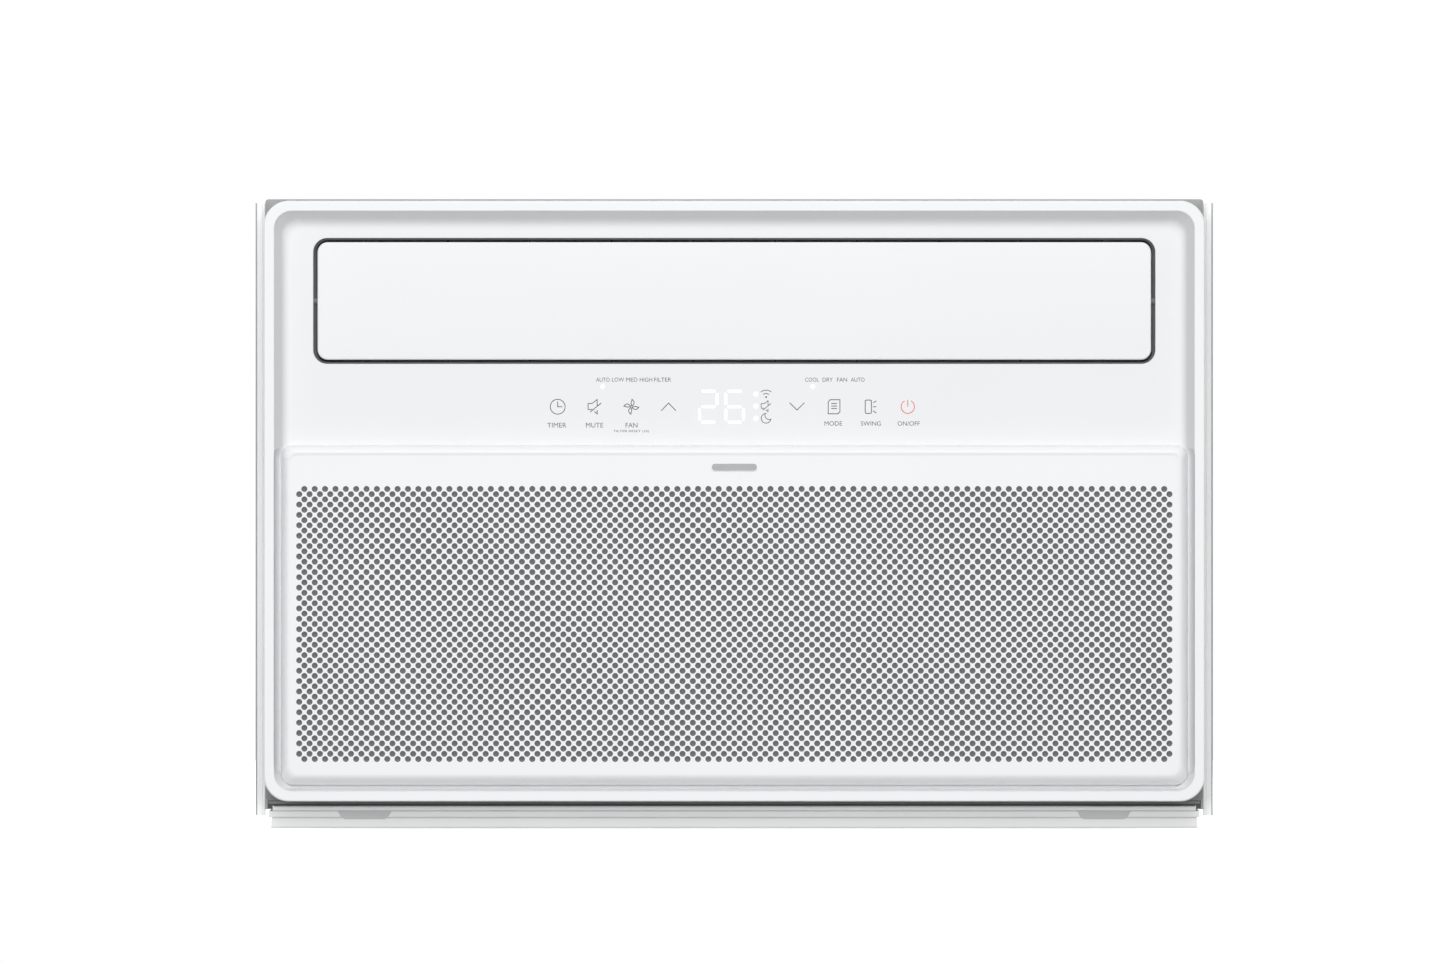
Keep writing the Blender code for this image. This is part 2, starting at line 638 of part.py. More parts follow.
def make_motor():
    centre = (SHAFT_X, 0.0, SHAFT_Z)
    bore = SHAFT_RADIUS + 0.0006
    turned("fan_motor", [(bore, -0.058), (0.014, -0.058), (0.016, -0.050), (0.045, -0.045), (0.055, -0.036),
                         (0.055, 0.026), (0.045, 0.035), (0.016, 0.040), (0.014, 0.048), (bore, 0.048)],
           centre, "Y", "black_steel", sides=24, closed=True)
    turned("motor_shaft", [(0.0042, -0.1600), (SHAFT_RADIUS, -0.1590), (SHAFT_RADIUS, 0.1890),
                           (0.0042, 0.1900)],
           centre, "Y", "steel", sides=14)
    saddle = 0.0558
    outline = [(-0.075, PAN_FLOOR + GAP), (0.075, PAN_FLOOR + GAP), (0.075, 0.0055), (0.050, 0.0055),
               (0.046, 0.130)]
    for step in range(9):
        angle = math.radians(-38 - 104 * step / 8)
        outline.append((saddle * math.cos(angle), SHAFT_Z + saddle * math.sin(angle)))
    outline += [(-0.046, 0.130), (-0.050, 0.0055), (-0.075, 0.0055)]
    slab("motor_bracket", [(SHAFT_X + x, z) for x, z in outline], -0.020, 0.012, "steel")


def make_condenser_fan():
    """Hub, five pitched blades and the slinger ring round their tips."""
    centre = Vector((SHAFT_X, 0.0, SHAFT_Z))
    front = 0.140
    back = 0.178
    hub = turned("condenser_fan", [(SHAFT_RADIUS + GAP, front), (0.030, front), (0.034, front + 0.004),
                                   (0.034, back),
                                   (SHAFT_RADIUS + GAP, back)], centre, "Y", "dark_plastic", sides=20,
                 closed=True)
    ring = turned("slinger_ring", [(FAN_RADIUS - 0.004, front + 0.010), (FAN_RADIUS, front + 0.010),
                                   (FAN_RADIUS, back - 0.010), (FAN_RADIUS - 0.004, back - 0.010)],
                  centre, "Y", "dark_plastic", sides=40, closed=True)
    tools = []
    blades = 5
    for index in range(blades):
        turn = math.tau * index / blades
        rings = []
        for radius, spread, pitch in ((0.031, 0.42, 0.014), (0.070, 0.46, 0.013), (0.110, 0.48, 0.011),
                                      (FAN_RADIUS - 0.002, 0.48, 0.009)):
            section = []
            for face in (-0.0011, 0.0011):
                edge = []
                for step in (-1.0, -0.33, 0.33, 1.0):
                    angle = turn + spread * step
                    along = (front + back) / 2 + pitch * step + face
                    edge.append((SHAFT_X + radius * math.cos(angle), along,
                                 SHAFT_Z + radius * math.sin(angle)))
                section.append(edge)
            rings.append(section[0] + section[1][::-1])
        tools.append(loft(f"fan_blade_{index}", rings, "dark_plastic", thin=True))
    boolean(hub, tools + [ring], "UNION")


def make_condenser():
    floor = PAN_FLOOR + GAP
    shroud = block("condenser_shroud", (-0.3150, 0.150, floor), (0.3150, 0.2680, 0.428), "grey_plastic")
    tools = [block("shroud_inside", (-0.3120, 0.153, floor - 0.01), (0.3120, 0.30, 0.425), "grey_plastic"),
             turned("shroud_mouth", [(FAN_RADIUS + 0.005, 0.14), (FAN_RADIUS + 0.005, 0.16)],
                    (SHAFT_X, 0.0, SHAFT_Z), "Y", "grey_plastic", sides=36)]
    boolean(shroud, tools)
    front = 0.2683
    back = 0.3100
    coil = block("condenser_coil", (-0.3080, front + 0.001, floor + 0.004), (0.3080, back - 0.001, 0.423),
                 "fin_aluminium")
    plates = [block(f"condenser_plate_{index}", (x, front, floor), (x + SHEET, back, 0.427), "steel")
              for index, x in enumerate((-0.3090, 0.3075))]
    boolean(coil, plates, "UNION")


def make_compressor():
    base = 0.0155
    turned("compressor", [(0.030, base + 0.004), (0.052, base + 0.008), (0.062, base + 0.018),
                          (0.062, 0.205),
                          (0.056, 0.222), (0.040, 0.234), (0.016, 0.240), (0.008, 0.240), (0.008, 0.250)],
           COMPRESSOR, "Z", "black_steel", sides=20)
    outline = []
    feet = [math.radians(90 + 120 * index) for index in range(3)]
    for angle in feet:
        for turn, radius in ((-0.9, 0.040), (-0.16, 0.086), (0.16, 0.086), (0.9, 0.040)):
            outline.append((COMPRESSOR.x + radius * math.cos(angle + turn),
                            COMPRESSOR.y + radius * math.sin(angle + turn)))
    rings = [[(x, y, z) for x, y in outline] for z in (base, base + 0.003)]
    plate = loft("compressor_plate", rings, "black_steel")
    holes = []
    for index, angle in enumerate(feet):
        spot = (COMPRESSOR.x + 0.076 * math.cos(angle), COMPRESSOR.y + 0.076 * math.sin(angle), 0.0)
        holes.append(turned(f"foot_hole_{index}", [(0.0053, 0.0), (0.0053, 0.04)], spot, "Z",
                            "black_steel", sides=10))
        turned(f"compressor_mount_{index + 1}",
               [(0.0100, PAN_FLOOR + GAP), (0.0085, 0.008), (0.0100, base - GAP),
                                                 (0.0050, base - GAP), (0.0050, base + 0.003 + GAP),
                                                 (0.0080, base + 0.003 + GAP), (0.0060, base + 0.010)],
               spot, "Z", "rubber", sides=12)
    boolean(plate, holes)
    turned("accumulator", [(0.006, 0.060), (0.020, 0.068), (0.021, 0.075), (0.021, 0.185),
                           (0.018, 0.194), (0.006, 0.200)],
           ACCUMULATOR, "Z", "black_steel", sides=14)


def make_tubes():
    side = 0.3218
    coil = 0.3090 + GAP
    evaporator = 0.2350 + GAP
    top = 0.250 + GAP
    pipe("discharge_tube", [(COMPRESSOR.x, COMPRESSOR.y, top), (COMPRESSOR.x, COMPRESSOR.y, 0.360),
                            (side, COMPRESSOR.y, 0.360), (side, 0.290, 0.360), (coil, 0.290, 0.360)],
         0.004, "copper", bend=0.020)
    pipe("suction_tube", [(evaporator, -0.232, 0.070), (ACCUMULATOR.x, -0.232, 0.070),
                          (ACCUMULATOR.x, -0.050, 0.070),
                          (ACCUMULATOR.x, -0.050, 0.290), (ACCUMULATOR.x, ACCUMULATOR.y, 0.290),
                          (ACCUMULATOR.x, ACCUMULATOR.y, 0.200 + GAP)], 0.0045, "copper", bend=0.022)
    pipe("capillary_tube", [(coil, 0.280, 0.040), (side + 0.001, 0.280, 0.040),
                            (side + 0.001, -0.240, 0.040),
                            (evaporator, -0.240, 0.040)], 0.0015, "copper", bend=0.010)


def make_electrics():
    box = block("control_box", (0.190, -0.2040, 0.110), (0.3180, -0.1100, 0.300), "steel")
    inside = block("box_inside", (0.1915, -0.25, 0.1115), (0.3165, -0.1115, 0.2985), "steel")
    boolean(box, [inside])
    block("control_box_lid", (0.1900, -0.2060, 0.110), (0.3180, -0.2043, 0.300), "steel")
    turned("run_capacitor", [(0.020, 0.300), (0.0215, 0.302), (0.0215, 0.366), (0.012, 0.370)],
           (0.250, -0.0760, 0.0), "Z", "grey_plastic", sides=16)


def main():
    clear_scene()
    make_bezel()
    make_grille()
    make_grille_fittings()
    make_filter()
    make_flap()
    make_outlet_duct()
    make_vanes()
    make_motors()
    make_controls()
    make_cabinet()
    make_rear_guard()
    make_base()
    make_side_channels()
    make_cord_gland()
    make_drip_tray()
    make_evaporator()
    make_blower()
    make_blower_wheel()
    make_bulkhead()
    make_motor()
    make_condenser_fan()
    make_condenser()
    make_compressor()
    make_tubes()
    make_electrics()


main()
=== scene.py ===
"""Window air conditioner, the visual model: fine surfaces, materials, light and camera round the CAD frame.

Metres, +Z up, the front faces -Y.  Every place is worked out from the CAD nodes' own boxes.
"""
import json
import math

import bmesh
import bpy
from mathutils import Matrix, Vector


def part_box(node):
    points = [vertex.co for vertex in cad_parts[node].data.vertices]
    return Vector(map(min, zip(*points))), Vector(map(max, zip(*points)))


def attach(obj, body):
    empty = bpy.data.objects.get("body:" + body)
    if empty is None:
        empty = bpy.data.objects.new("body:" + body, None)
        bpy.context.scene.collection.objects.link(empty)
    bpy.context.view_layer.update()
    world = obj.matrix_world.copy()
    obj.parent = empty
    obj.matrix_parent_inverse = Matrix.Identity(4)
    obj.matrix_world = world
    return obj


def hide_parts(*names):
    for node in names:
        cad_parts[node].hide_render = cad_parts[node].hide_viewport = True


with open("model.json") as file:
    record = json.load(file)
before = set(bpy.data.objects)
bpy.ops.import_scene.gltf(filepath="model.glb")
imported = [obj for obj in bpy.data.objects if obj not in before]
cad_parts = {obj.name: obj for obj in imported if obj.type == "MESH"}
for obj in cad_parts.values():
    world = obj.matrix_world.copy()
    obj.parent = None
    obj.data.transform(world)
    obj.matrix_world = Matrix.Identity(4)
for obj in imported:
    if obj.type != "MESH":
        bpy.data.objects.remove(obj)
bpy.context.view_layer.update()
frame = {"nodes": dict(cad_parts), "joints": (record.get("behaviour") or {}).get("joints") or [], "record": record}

MM = 0.001
NODES = frame["nodes"]

BEZEL_LOW, BEZEL_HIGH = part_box("front_bezel")
FLAP_LOW, FLAP_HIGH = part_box("outlet_flap")
GRILLE_LOW, GRILLE_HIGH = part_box("intake_grille")
CABINET_LOW, CABINET_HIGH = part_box("cabinet")
FRONT = BEZEL_LOW.y                    # plane of the bezel's rim
FIELD = FRONT + 9.0 * MM               # plane of the field behind it
POCKET = FRONT + 11.0 * MM             # floor of the grille's pocket
RIM = 7.3 * MM
CORNER_STEPS = 14                      # facets of each round corner of the front
JOINTS = {joint["name"]: joint for joint in frame["joints"]}


# -------------------------------- materials

def shader_tree(name):
    material = bpy.data.materials.new(name)
    material.use_nodes = True
    tree = material.node_tree
    return material, tree, tree.nodes["Principled BSDF"]


def put(node, **settings):
    """Set a node's own settings, and constants on its sockets: an underscore stands for a space."""
    for key, value in settings.items():
        if hasattr(node, key):
            setattr(node, key, value)
        else:
            node.inputs[key.replace("_", " ")].default_value = value
    return node


def add(tree, kind, **settings):
    return put(tree.nodes.new(kind), **settings)


def noise(tree, scale, detail=3.0, stretch=(1.0, 1.0, 1.0)):
    place = add(tree, "ShaderNodeTexCoord")
    mapping = add(tree, "ShaderNodeMapping", Scale=stretch)
    tree.links.new(place.outputs["Object"], mapping.inputs["Vector"])
    texture = add(tree, "ShaderNodeTexNoise", Scale=scale, Detail=detail)
    tree.links.new(mapping.outputs["Vector"], texture.inputs["Vector"])
    return texture.outputs["Fac"]


def spread(tree, value, low, high, from_low=0.3, from_high=0.7):
    """The value's own range stretched to low and high."""
    node = add(tree, "ShaderNodeMapRange", From_Min=from_low, From_Max=from_high, To_Min=low, To_Max=high)
    tree.links.new(value, node.inputs["Value"])
    return node.outputs["Result"]


def mix(tree, factor, first, second):
    """A blend of two colours, each a tuple or a socket."""
    node = add(tree, "ShaderNodeMix", data_type="RGBA")
    for socket, value in ((6, first), (7, second)):
        if isinstance(value, tuple):
            node.inputs[socket].default_value = (*value, 1.0)
        else:
            tree.links.new(value, node.inputs[socket])
    tree.links.new(factor, node.inputs[0])
    return node.outputs[2]


def facing(tree, axis):
    """How far the surface faces along an axis."""
    geometry = add(tree, "ShaderNodeNewGeometry")
    split = add(tree, "ShaderNodeSeparateXYZ")
    tree.links.new(geometry.outputs["Normal"], split.inputs["Vector"])
    return split.outputs[axis]


def emboss(tree, shader, height, strength, distance):
    relief = add(tree, "ShaderNodeBump", Strength=strength, Distance=distance)
    tree.links.new(height, relief.inputs["Height"])
    tree.links.new(relief.outputs["Normal"], shader.inputs["Normal"])


def shade(colour, amount):
    return tuple(max(0.0, min(1.0, channel * amount)) for channel in colour)


def surface(name, colour, roughness, grain_mm, bump, cloud, metallic=0.0, stretch=(1.0, 1.0, 1.0),
            wear=0.0, coat=0.0, dust=0.0, fill=0.0, cove=0.0, gloss=0.5):
    """One finish: clouded colour, grain in relief and roughness, pale worn edges, dust lying on top,
    painted shade on faces that turn left and right (cove), and painted light: a glow of its own that lifts the
    shadows (fill)."""
    material, tree, shader = shader_tree(name)
    clouds = spread(tree, noise(tree, 9.0, 4.0), 0.0, 1.0)
    paint = mix(tree, clouds, shade(colour, 1.0 - cloud), shade(colour, 1.0 + cloud))
    if wear:
        geometry = add(tree, "ShaderNodeNewGeometry")
        edge = spread(tree, geometry.outputs["Pointiness"], 0.0, wear, 0.52, 0.62)
        paint = mix(tree, edge, paint, shade(colour, 1.35))
    if dust:
        paint = mix(tree, spread(tree, facing(tree, "Z"), 0.0, dust, 0.2, 1.0), paint, (0.46, 0.45, 0.43))
    # painted shade: the paint darkens as the face turns left or right, like the side slopes of a recess in shade
    if cove:
        side_shade = add(tree, "ShaderNodeMath", operation="ABSOLUTE")
        tree.links.new(facing(tree, "X"), side_shade.inputs[0])
        paint = mix(tree, spread(tree, side_shade.outputs[0], 0.0, cove, 0.05, 0.70), paint, (0.0,) * 3)
    tree.links.new(paint, shader.inputs["Base Color"])
    # painted light: the finish glows a little in its own colour, so that its shadows are lighter
    if fill:
        tree.links.new(paint, shader.inputs["Emission Color"])
        put(shader, Emission_Strength=fill)
    grain = noise(tree, 1.0 / (grain_mm * MM), 2.0, stretch)
    tree.links.new(spread(tree, grain, max(0.05, roughness - 0.05), min(1.0, roughness + 0.06)),
                   shader.inputs["Roughness"])
    put(shader, Metallic=metallic, Coat_Weight=coat, Specular_IOR_Level=gloss)
    emboss(tree, shader, grain, bump, grain_mm * MM * 0.5)
    material.diffuse_color = (*colour, 1.0)
    return material


def lamp_material(name, colour, strength):
    """A lit lens: it glows evenly, a little brighter in the middle of its grain."""
    material, tree, shader = shader_tree(name)
    put(shader, Base_Color=(*colour, 1.0), Roughness=0.3, Emission_Strength=strength)
    glow = spread(tree, noise(tree, 900.0, 1.0), 0.0, 1.0)
    tree.links.new(mix(tree, glow, shade(colour, 0.97), colour), shader.inputs["Emission Color"])
    return material


def net_material(name, colour, pitch_mm):
    """Woven net: two crossing waves make the threads stand out in colour and relief."""
    material, tree, shader = shader_tree(name)
    place = add(tree, "ShaderNodeTexCoord")
    both = add(tree, "ShaderNodeMath", operation="MAXIMUM")
    for socket, direction in zip(both.inputs, "XZ"):
        wave = add(tree, "ShaderNodeTexWave", wave_type="BANDS", bands_direction=direction,
                   Scale=1.0 / (pitch_mm * MM) * 0.314)
        tree.links.new(place.outputs["Object"], wave.inputs["Vector"])
        tree.links.new(wave.outputs["Fac"], socket)
    tree.links.new(mix(tree, both.outputs[0], shade(colour, 0.55), shade(colour, 1.25)),
                   shader.inputs["Base Color"])
    tree.links.new(spread(tree, both.outputs[0], 0.9, 0.6, 0.0, 1.0), shader.inputs["Roughness"])
    emboss(tree, shader, both.outputs[0], 0.5, 0.3 * MM)
    return material


# name, colour, roughness, grain in mm, relief, clouding, then what is special
# painted shade: cove darkens the field's slopes that face left and right
FIELD_WHITE = surface("satin_field", (0.715, 0.723, 0.735), 0.58, 0.3, 0.02, 0.006, cove=0.18)
WHITE = surface("white_moulding", (0.752, 0.760, 0.772), 0.55, 0.35, 0.04, 0.006)
DOOR_WHITE = surface("door_moulding", (0.728, 0.736, 0.746), 0.55, 0.35, 0.03, 0.006)
# near-white paint, made lighter still and given a glow of its own: painted light that lifts the channel out of the
# shade beside the bezel
CHANNEL_WHITE = surface("channel_paint", (0.92, 0.925, 0.93), 0.45, 0.8, 0.02, 0.01, fill=0.08)
# painted light: a glow of its own lifts the pan's skirt out of the shade under the bezel
PAN_PAINT = surface("pan_coating", (0.86, 0.865, 0.87), 0.5, 1.0, 0.04, 0.015, fill=0.075)
# the tabs' darker coating; the same colour paints the shadow lines between the base bands
TAB_AND_SHADOW_LINE_PAINT = surface("tab_coating_and_shadow_lines", (0.60, 0.605, 0.61), 0.5, 1.0, 0.06, 0.02)
CABINET_PAINT = surface("cabinet_coating", (0.40, 0.404, 0.41), 0.62, 1.1, 0.12, 0.02, wear=0.35,
                        dust=0.06, gloss=0.22)
# the flange's grey, which also paints the shade strip under the bezel
FLANGE_AND_UNDERSIDE_SHADE = surface("flange_coating_and_underside_shade", (0.345, 0.348, 0.352), 0.55, 1.1, 0.08, 0.02)
# painted shade: a dark line along the flange's side edges
FLANGE_EDGE_SHADE = surface("flange_edge_shade", (0.235, 0.237, 0.24), 0.5, 0.8, 0.08, 0.03)
# painted shade: a dark line along the channel's rolled outer lip
ROLLED_LIP_SHADE = surface("rolled_lip_shade", (0.46, 0.464, 0.47), 0.5, 0.8, 0.05, 0.02)
DARK = surface("dark_moulding", (0.028, 0.029, 0.031), 0.52, 0.5, 0.08, 0.05, dust=0.10)
GREY = surface("grey_moulding", (0.20, 0.205, 0.21), 0.5, 0.6, 0.08, 0.03, dust=0.15)
FOAM = surface("duct_foam", (0.60, 0.61, 0.62), 0.85, 2.6, 0.35, 0.03)
BADGE = surface("badge_metal", (0.150, 0.151, 0.155), 0.42, 0.15, 0.08, 0.05, metallic=0.6,
                stretch=(1.0, 1.0, 14.0))
# painted light: a glow of its own lifts the fins out of the shade inside the cabinet
FINS = surface("coil_aluminium", (0.84, 0.85, 0.86), 0.5, 0.7, 0.03, 0.03, metallic=0.15, dust=0.04,
               fill=0.10)
COPPER = surface("copper_tube", (0.70, 0.34, 0.20), 0.30, 1.2, 0.05, 0.18, metallic=1.0)
STEEL = surface("plated_steel", (0.56, 0.565, 0.57), 0.36, 1.4, 0.05, 0.06, metallic=0.95, wear=0.3)
BLACK = surface("black_enamel", (0.018, 0.018, 0.02), 0.38, 1.2, 0.08, 0.1, metallic=0.1, wear=0.2,
                dust=0.12)
# the gasket's dark rubber; the same colour paints the shade in the gap under the bezel
LIP_AND_GAP_SHADE = surface("outlet_gasket_and_gap_shade", (0.115, 0.116, 0.12), 0.7, 0.6, 0.1, 0.05)
RUBBER = surface("black_rubber", (0.022, 0.022, 0.023), 0.8, 0.6, 0.15, 0.08)
BOARD = surface("circuit_board", (0.02, 0.13, 0.06), 0.4, 0.8, 0.05, 0.08, coat=0.3)
NET = net_material("filter_net", (0.20, 0.20, 0.205), 1.2)
SCREEN = surface("dust_screen", (0.150, 0.150, 0.152), 0.9, 0.3, 0.2, 0.02)
INK = surface("legend_ink", (0.045, 0.045, 0.047), 0.6, 0.2, 0.02, 0.03)
RED_INK = surface("legend_red", (0.68, 0.10, 0.10), 0.6, 0.2, 0.02, 0.03)
LAMP = lamp_material("lit_segment", (1.0, 1.0, 1.0), 0.16)


# -------------------------------- mesh tools

def link_object(name, data):
    item = bpy.data.objects.new(name, data)
    bpy.context.scene.collection.objects.link(item)
    return item


def mesh_object(name, bm):
    mesh = bpy.data.meshes.new(name)
    bm.to_mesh(mesh)
    bm.free()
    return link_object(name, mesh)


def smooth_shade(mesh, angle):
    """Smooth, but sharp at edges steeper than the angle in degrees."""
    mesh.shade_smooth()
    mesh.set_sharp_from_angle(angle=math.radians(angle))


def finish_mesh(name, bm, material, stands_for=(), body="chassis", angle=None, recalc=True):
    """A piece of the model: smooth up to the angle in degrees, or flat without one."""
    if recalc:
        bmesh.ops.recalc_face_normals(bm, faces=bm.faces)
    item = mesh_object(name, bm)
    item.data.materials.append(material)
    if angle:
        smooth_shade(item.data, angle)
    settle(item, body, stands_for)
    return item


def settle(item, body, stands_for=()):
    """Ride on a body and stand for CAD nodes; the floor has no body."""
    if body:
        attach(item, body)
    if stands_for:
        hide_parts(*stands_for)


def bake_modifiers(item):
    """Apply the modifiers, so that the piece is plain mesh."""
    graph = bpy.context.evaluated_depsgraph_get()
    graph.update()
    mesh = bpy.data.meshes.new_from_object(item.evaluated_get(graph))
    item.modifiers.clear()
    old = item.data
    item.data = mesh
    mesh.name = item.name
    bpy.data.meshes.remove(old)


def modify(item, kind, **settings):
    modifier = item.modifiers.new(kind.title(), kind)
    for key, value in settings.items():
        setattr(modifier, key, value)


def bevel(item, width_mm):
    """Small rounded edges, in plain mesh."""
    modify(item, "BEVEL", width=width_mm * MM, segments=2, limit_method="ANGLE")
    bake_modifiers(item)


def rounded_box(x0, z0, x1, z1, radius, steps=6):
    """Outline in X and Z with round corners, counter-clockwise seen from the front."""
    points = []
    for x, z, start in ((x1 - radius, z0 + radius, -90), (x1 - radius, z1 - radius, 0),
                        (x0 + radius, z1 - radius, 90), (x0 + radius, z0 + radius, 180)):
        for step in range(steps + 1):
            angle = math.radians(start + 90 * step / steps)
            points.append((x + radius * math.cos(angle), z + radius * math.sin(angle)))
    return points


def ring_points(half, low, high, radius, steps=CORNER_STEPS):
    return rounded_box(-half, low, half, high, radius, steps)


def circle_points(radius, steps, x=0.0, z=0.0):
    return [(x + radius * math.cos(math.tau * step / steps), z + radius * math.sin(math.tau * step / steps))
            for step in range(steps)]


def skin(bm, rings, caps=(True, True), closed=False):
    """Quads between rings of points; the end rings are capped where asked."""
    rows = [[bm.verts.new(point) for point in ring] for ring in rings]
    pairs = list(zip(rows, rows[1:]))
    if closed:
        pairs.append((rows[-1], rows[0]))
    for near, far in pairs:
        for index in range(len(near)):
            after = (index + 1) % len(near)
            bm.faces.new((near[index], near[after], far[after], far[index]))
    for row, wanted in ((rows[0], caps[0]), (rows[-1], caps[1])):
        if wanted and not closed:
            bm.faces.new(row)
    return rows


def depth_rings(sections):
    """Rings from (half width, low, high, corner radius, y) sections."""
    return [[(x, y, z) for x, z in ring_points(half, low, high, radius)]
            for half, low, high, radius, y in sections]


def cut(target, openings):
    """Cut openings, each a list of depth_rings sections, out of the target one by one."""
    cutters = []
    for sections in openings:
        bm = bmesh.new()
        skin(bm, depth_rings(sections))
        bmesh.ops.recalc_face_normals(bm, faces=bm.faces)
        cutters.append(mesh_object("opening", bm))
        modify(target, "BOOLEAN", operation="DIFFERENCE", object=cutters[-1])
    bake_modifiers(target)
    for cutter in cutters:
        bpy.data.objects.remove(cutter, do_unlink=True)


def add_box(bm, low, high):
    """A box with its faces pointing out."""
    skin(bm, [[(low[0], low[1], z), (high[0], low[1], z), (high[0], high[1], z), (low[0], high[1], z)]
              for z in (low[2], high[2])])


def add_turned(bm, profile, centre, axis, sides, caps=(True, True)):
    """A profile of (radius, distance) turned about an axis through centre."""
    frame_of = {"X": ((0, 1, 0), (0, 0, 1), (1, 0, 0)), "Y": ((0, 0, 1), (1, 0, 0), (0, 1, 0)),
                "Z": ((1, 0, 0), (0, 1, 0), (0, 0, 1))}[axis]
    first, second, along = (Vector(v) for v in frame_of)
    centre = Vector(centre)
    rings = [[centre + along * distance + first * a + second * b for a, b in circle_points(radius, sides)]
             for radius, distance in profile]
    skin(bm, rings, caps)


def soft_normals(item):
    """Let the large flat faces rule the shading of the fillets beside them."""
    modify(item, "WEIGHTED_NORMAL", keep_sharp=True, weight=80)
    bake_modifiers(item)


# -------------------------------- front moulding

def arc_between(start, corner, end, steps):
    """Soft fillet: a quadratic curve from start to end, pulled towards the corner point."""
    points = []
    for step in range(steps + 1):
        t = step / steps
        points.append(tuple(start[k] * (1 - t) ** 2 + 2 * corner[k] * t * (1 - t) + end[k] * t ** 2
                            for k in (0, 1)))
    return points


def make_bezel():
    """Rounded block with a rolled rim; the recess slopes back to the field with a soft fillet."""
    half = BEZEL_HIGH.x
    low = BEZEL_LOW.z
    high = BEZEL_HIGH.z
    radius = 17.5 * MM
    back = BEZEL_HIGH.y
    edge = 1.3 * MM
    bm = bmesh.new()
    skin(bm, depth_rings([(half - 1.0 * MM, low + 1.0 * MM, high - 1.0 * MM, radius, back),
                          (half - 0.3 * MM, low + 0.3 * MM, high - 0.3 * MM, radius, back - 8 * MM),
                          (half, low, high, radius, back - 20 * MM)]
                         + [(half - inset, low + inset, high - inset, radius - 0.5 * inset, FRONT + depth)
                            for inset, depth in arc_between((0.0, edge), (0.0, 0.0), (edge, 0.0), 6)]))
    bezel = finish_mesh("front_bezel_shell", bm, WHITE, ("front_bezel",))

    rim_half = half - RIM
    rim_low = low + RIM
    rim_high = high - RIM
    lip = 0.7 * MM
    slope = [(-lip, -1.0 * MM)] + arc_between((-lip, 0.0), (0.0, 0.0), (0.0, lip), 5)
    slope += arc_between((4.6 * MM, 6.2 * MM), (6.9 * MM, 9.0 * MM), (11.6 * MM, 9.0 * MM), 14)
    recess = [(rim_half - inset, rim_low + 0.35 * inset, rim_high - inset, 12.6 * MM, FRONT + depth)
              for inset, depth in slope]

    def round_panel(out, up, bend, depth):
        return (GRILLE_HIGH.x + out * MM, rim_low + up * MM, GRILLE_HIGH.z + out * MM, bend * MM,
                FRONT + depth * MM)

    # the pocket ends in a ledge under the panel's edge: distance out from the panel, depth, corner radius
    pocket = [round_panel(out, 1.6, bend, depth)
              for out, depth, bend in ((0.35, -0.35, 8.6), (0.35, 8.6, 8.6), (-0.8, 8.6, 11.5),
                                       (-0.8, 11.0, 11.5))]
    # a cove opens the slope beside the panel, from above its pivots: distance out and depth
    cove = [round_panel(out, 6.0, 12.6, depth)
            for out, depth in ((5.4, -0.35), (5.2, 1.5), (4.7, 2.95), (3.9, 4.75), (3.0, 6.35), (2.0, 7.6),
                               (1.0, 8.3), (0.0, 8.55))]
    wall = 2.5 * MM
    hollow = [(half - wall, low + wall, high - wall, 15 * MM, y) for y in (POCKET + wall, 0.0)]
    room = 2.8 * MM                    # round the door
    flare = 0.5 * MM
    mouth = [(flare, FRONT - 10 * MM), (flare, FIELD - 0.05 * MM), (0.5 * flare, FIELD + 0.12 * flare),
             (0.14 * flare, FIELD + 0.5 * flare), (0.0, FIELD + flare), (0.0, 0.0)]
    outlet = [(FLAP_HIGH.x + room + out, FLAP_LOW.z - room - out, FLAP_HIGH.z + room + out,
               9.8 * MM + out, y) for out, y in mouth]
    intake = [(308 * MM, 40 * MM, 258 * MM, 6 * MM, y) for y in (FRONT - 10 * MM, 0.0)]
    cut(bezel, [recess, pocket, cove, hollow, outlet, intake])
    # the recessed faces take the field's white, with its painted shade on the side slopes
    bezel.data.materials.append(FIELD_WHITE)
    for face in bezel.data.polygons:
        if face.normal.y < -0.2 and face.center.y > FRONT + 0.9 * MM:
            face.material_index = 1
    smooth_shade(bezel.data, 32)
    soft_normals(bezel)


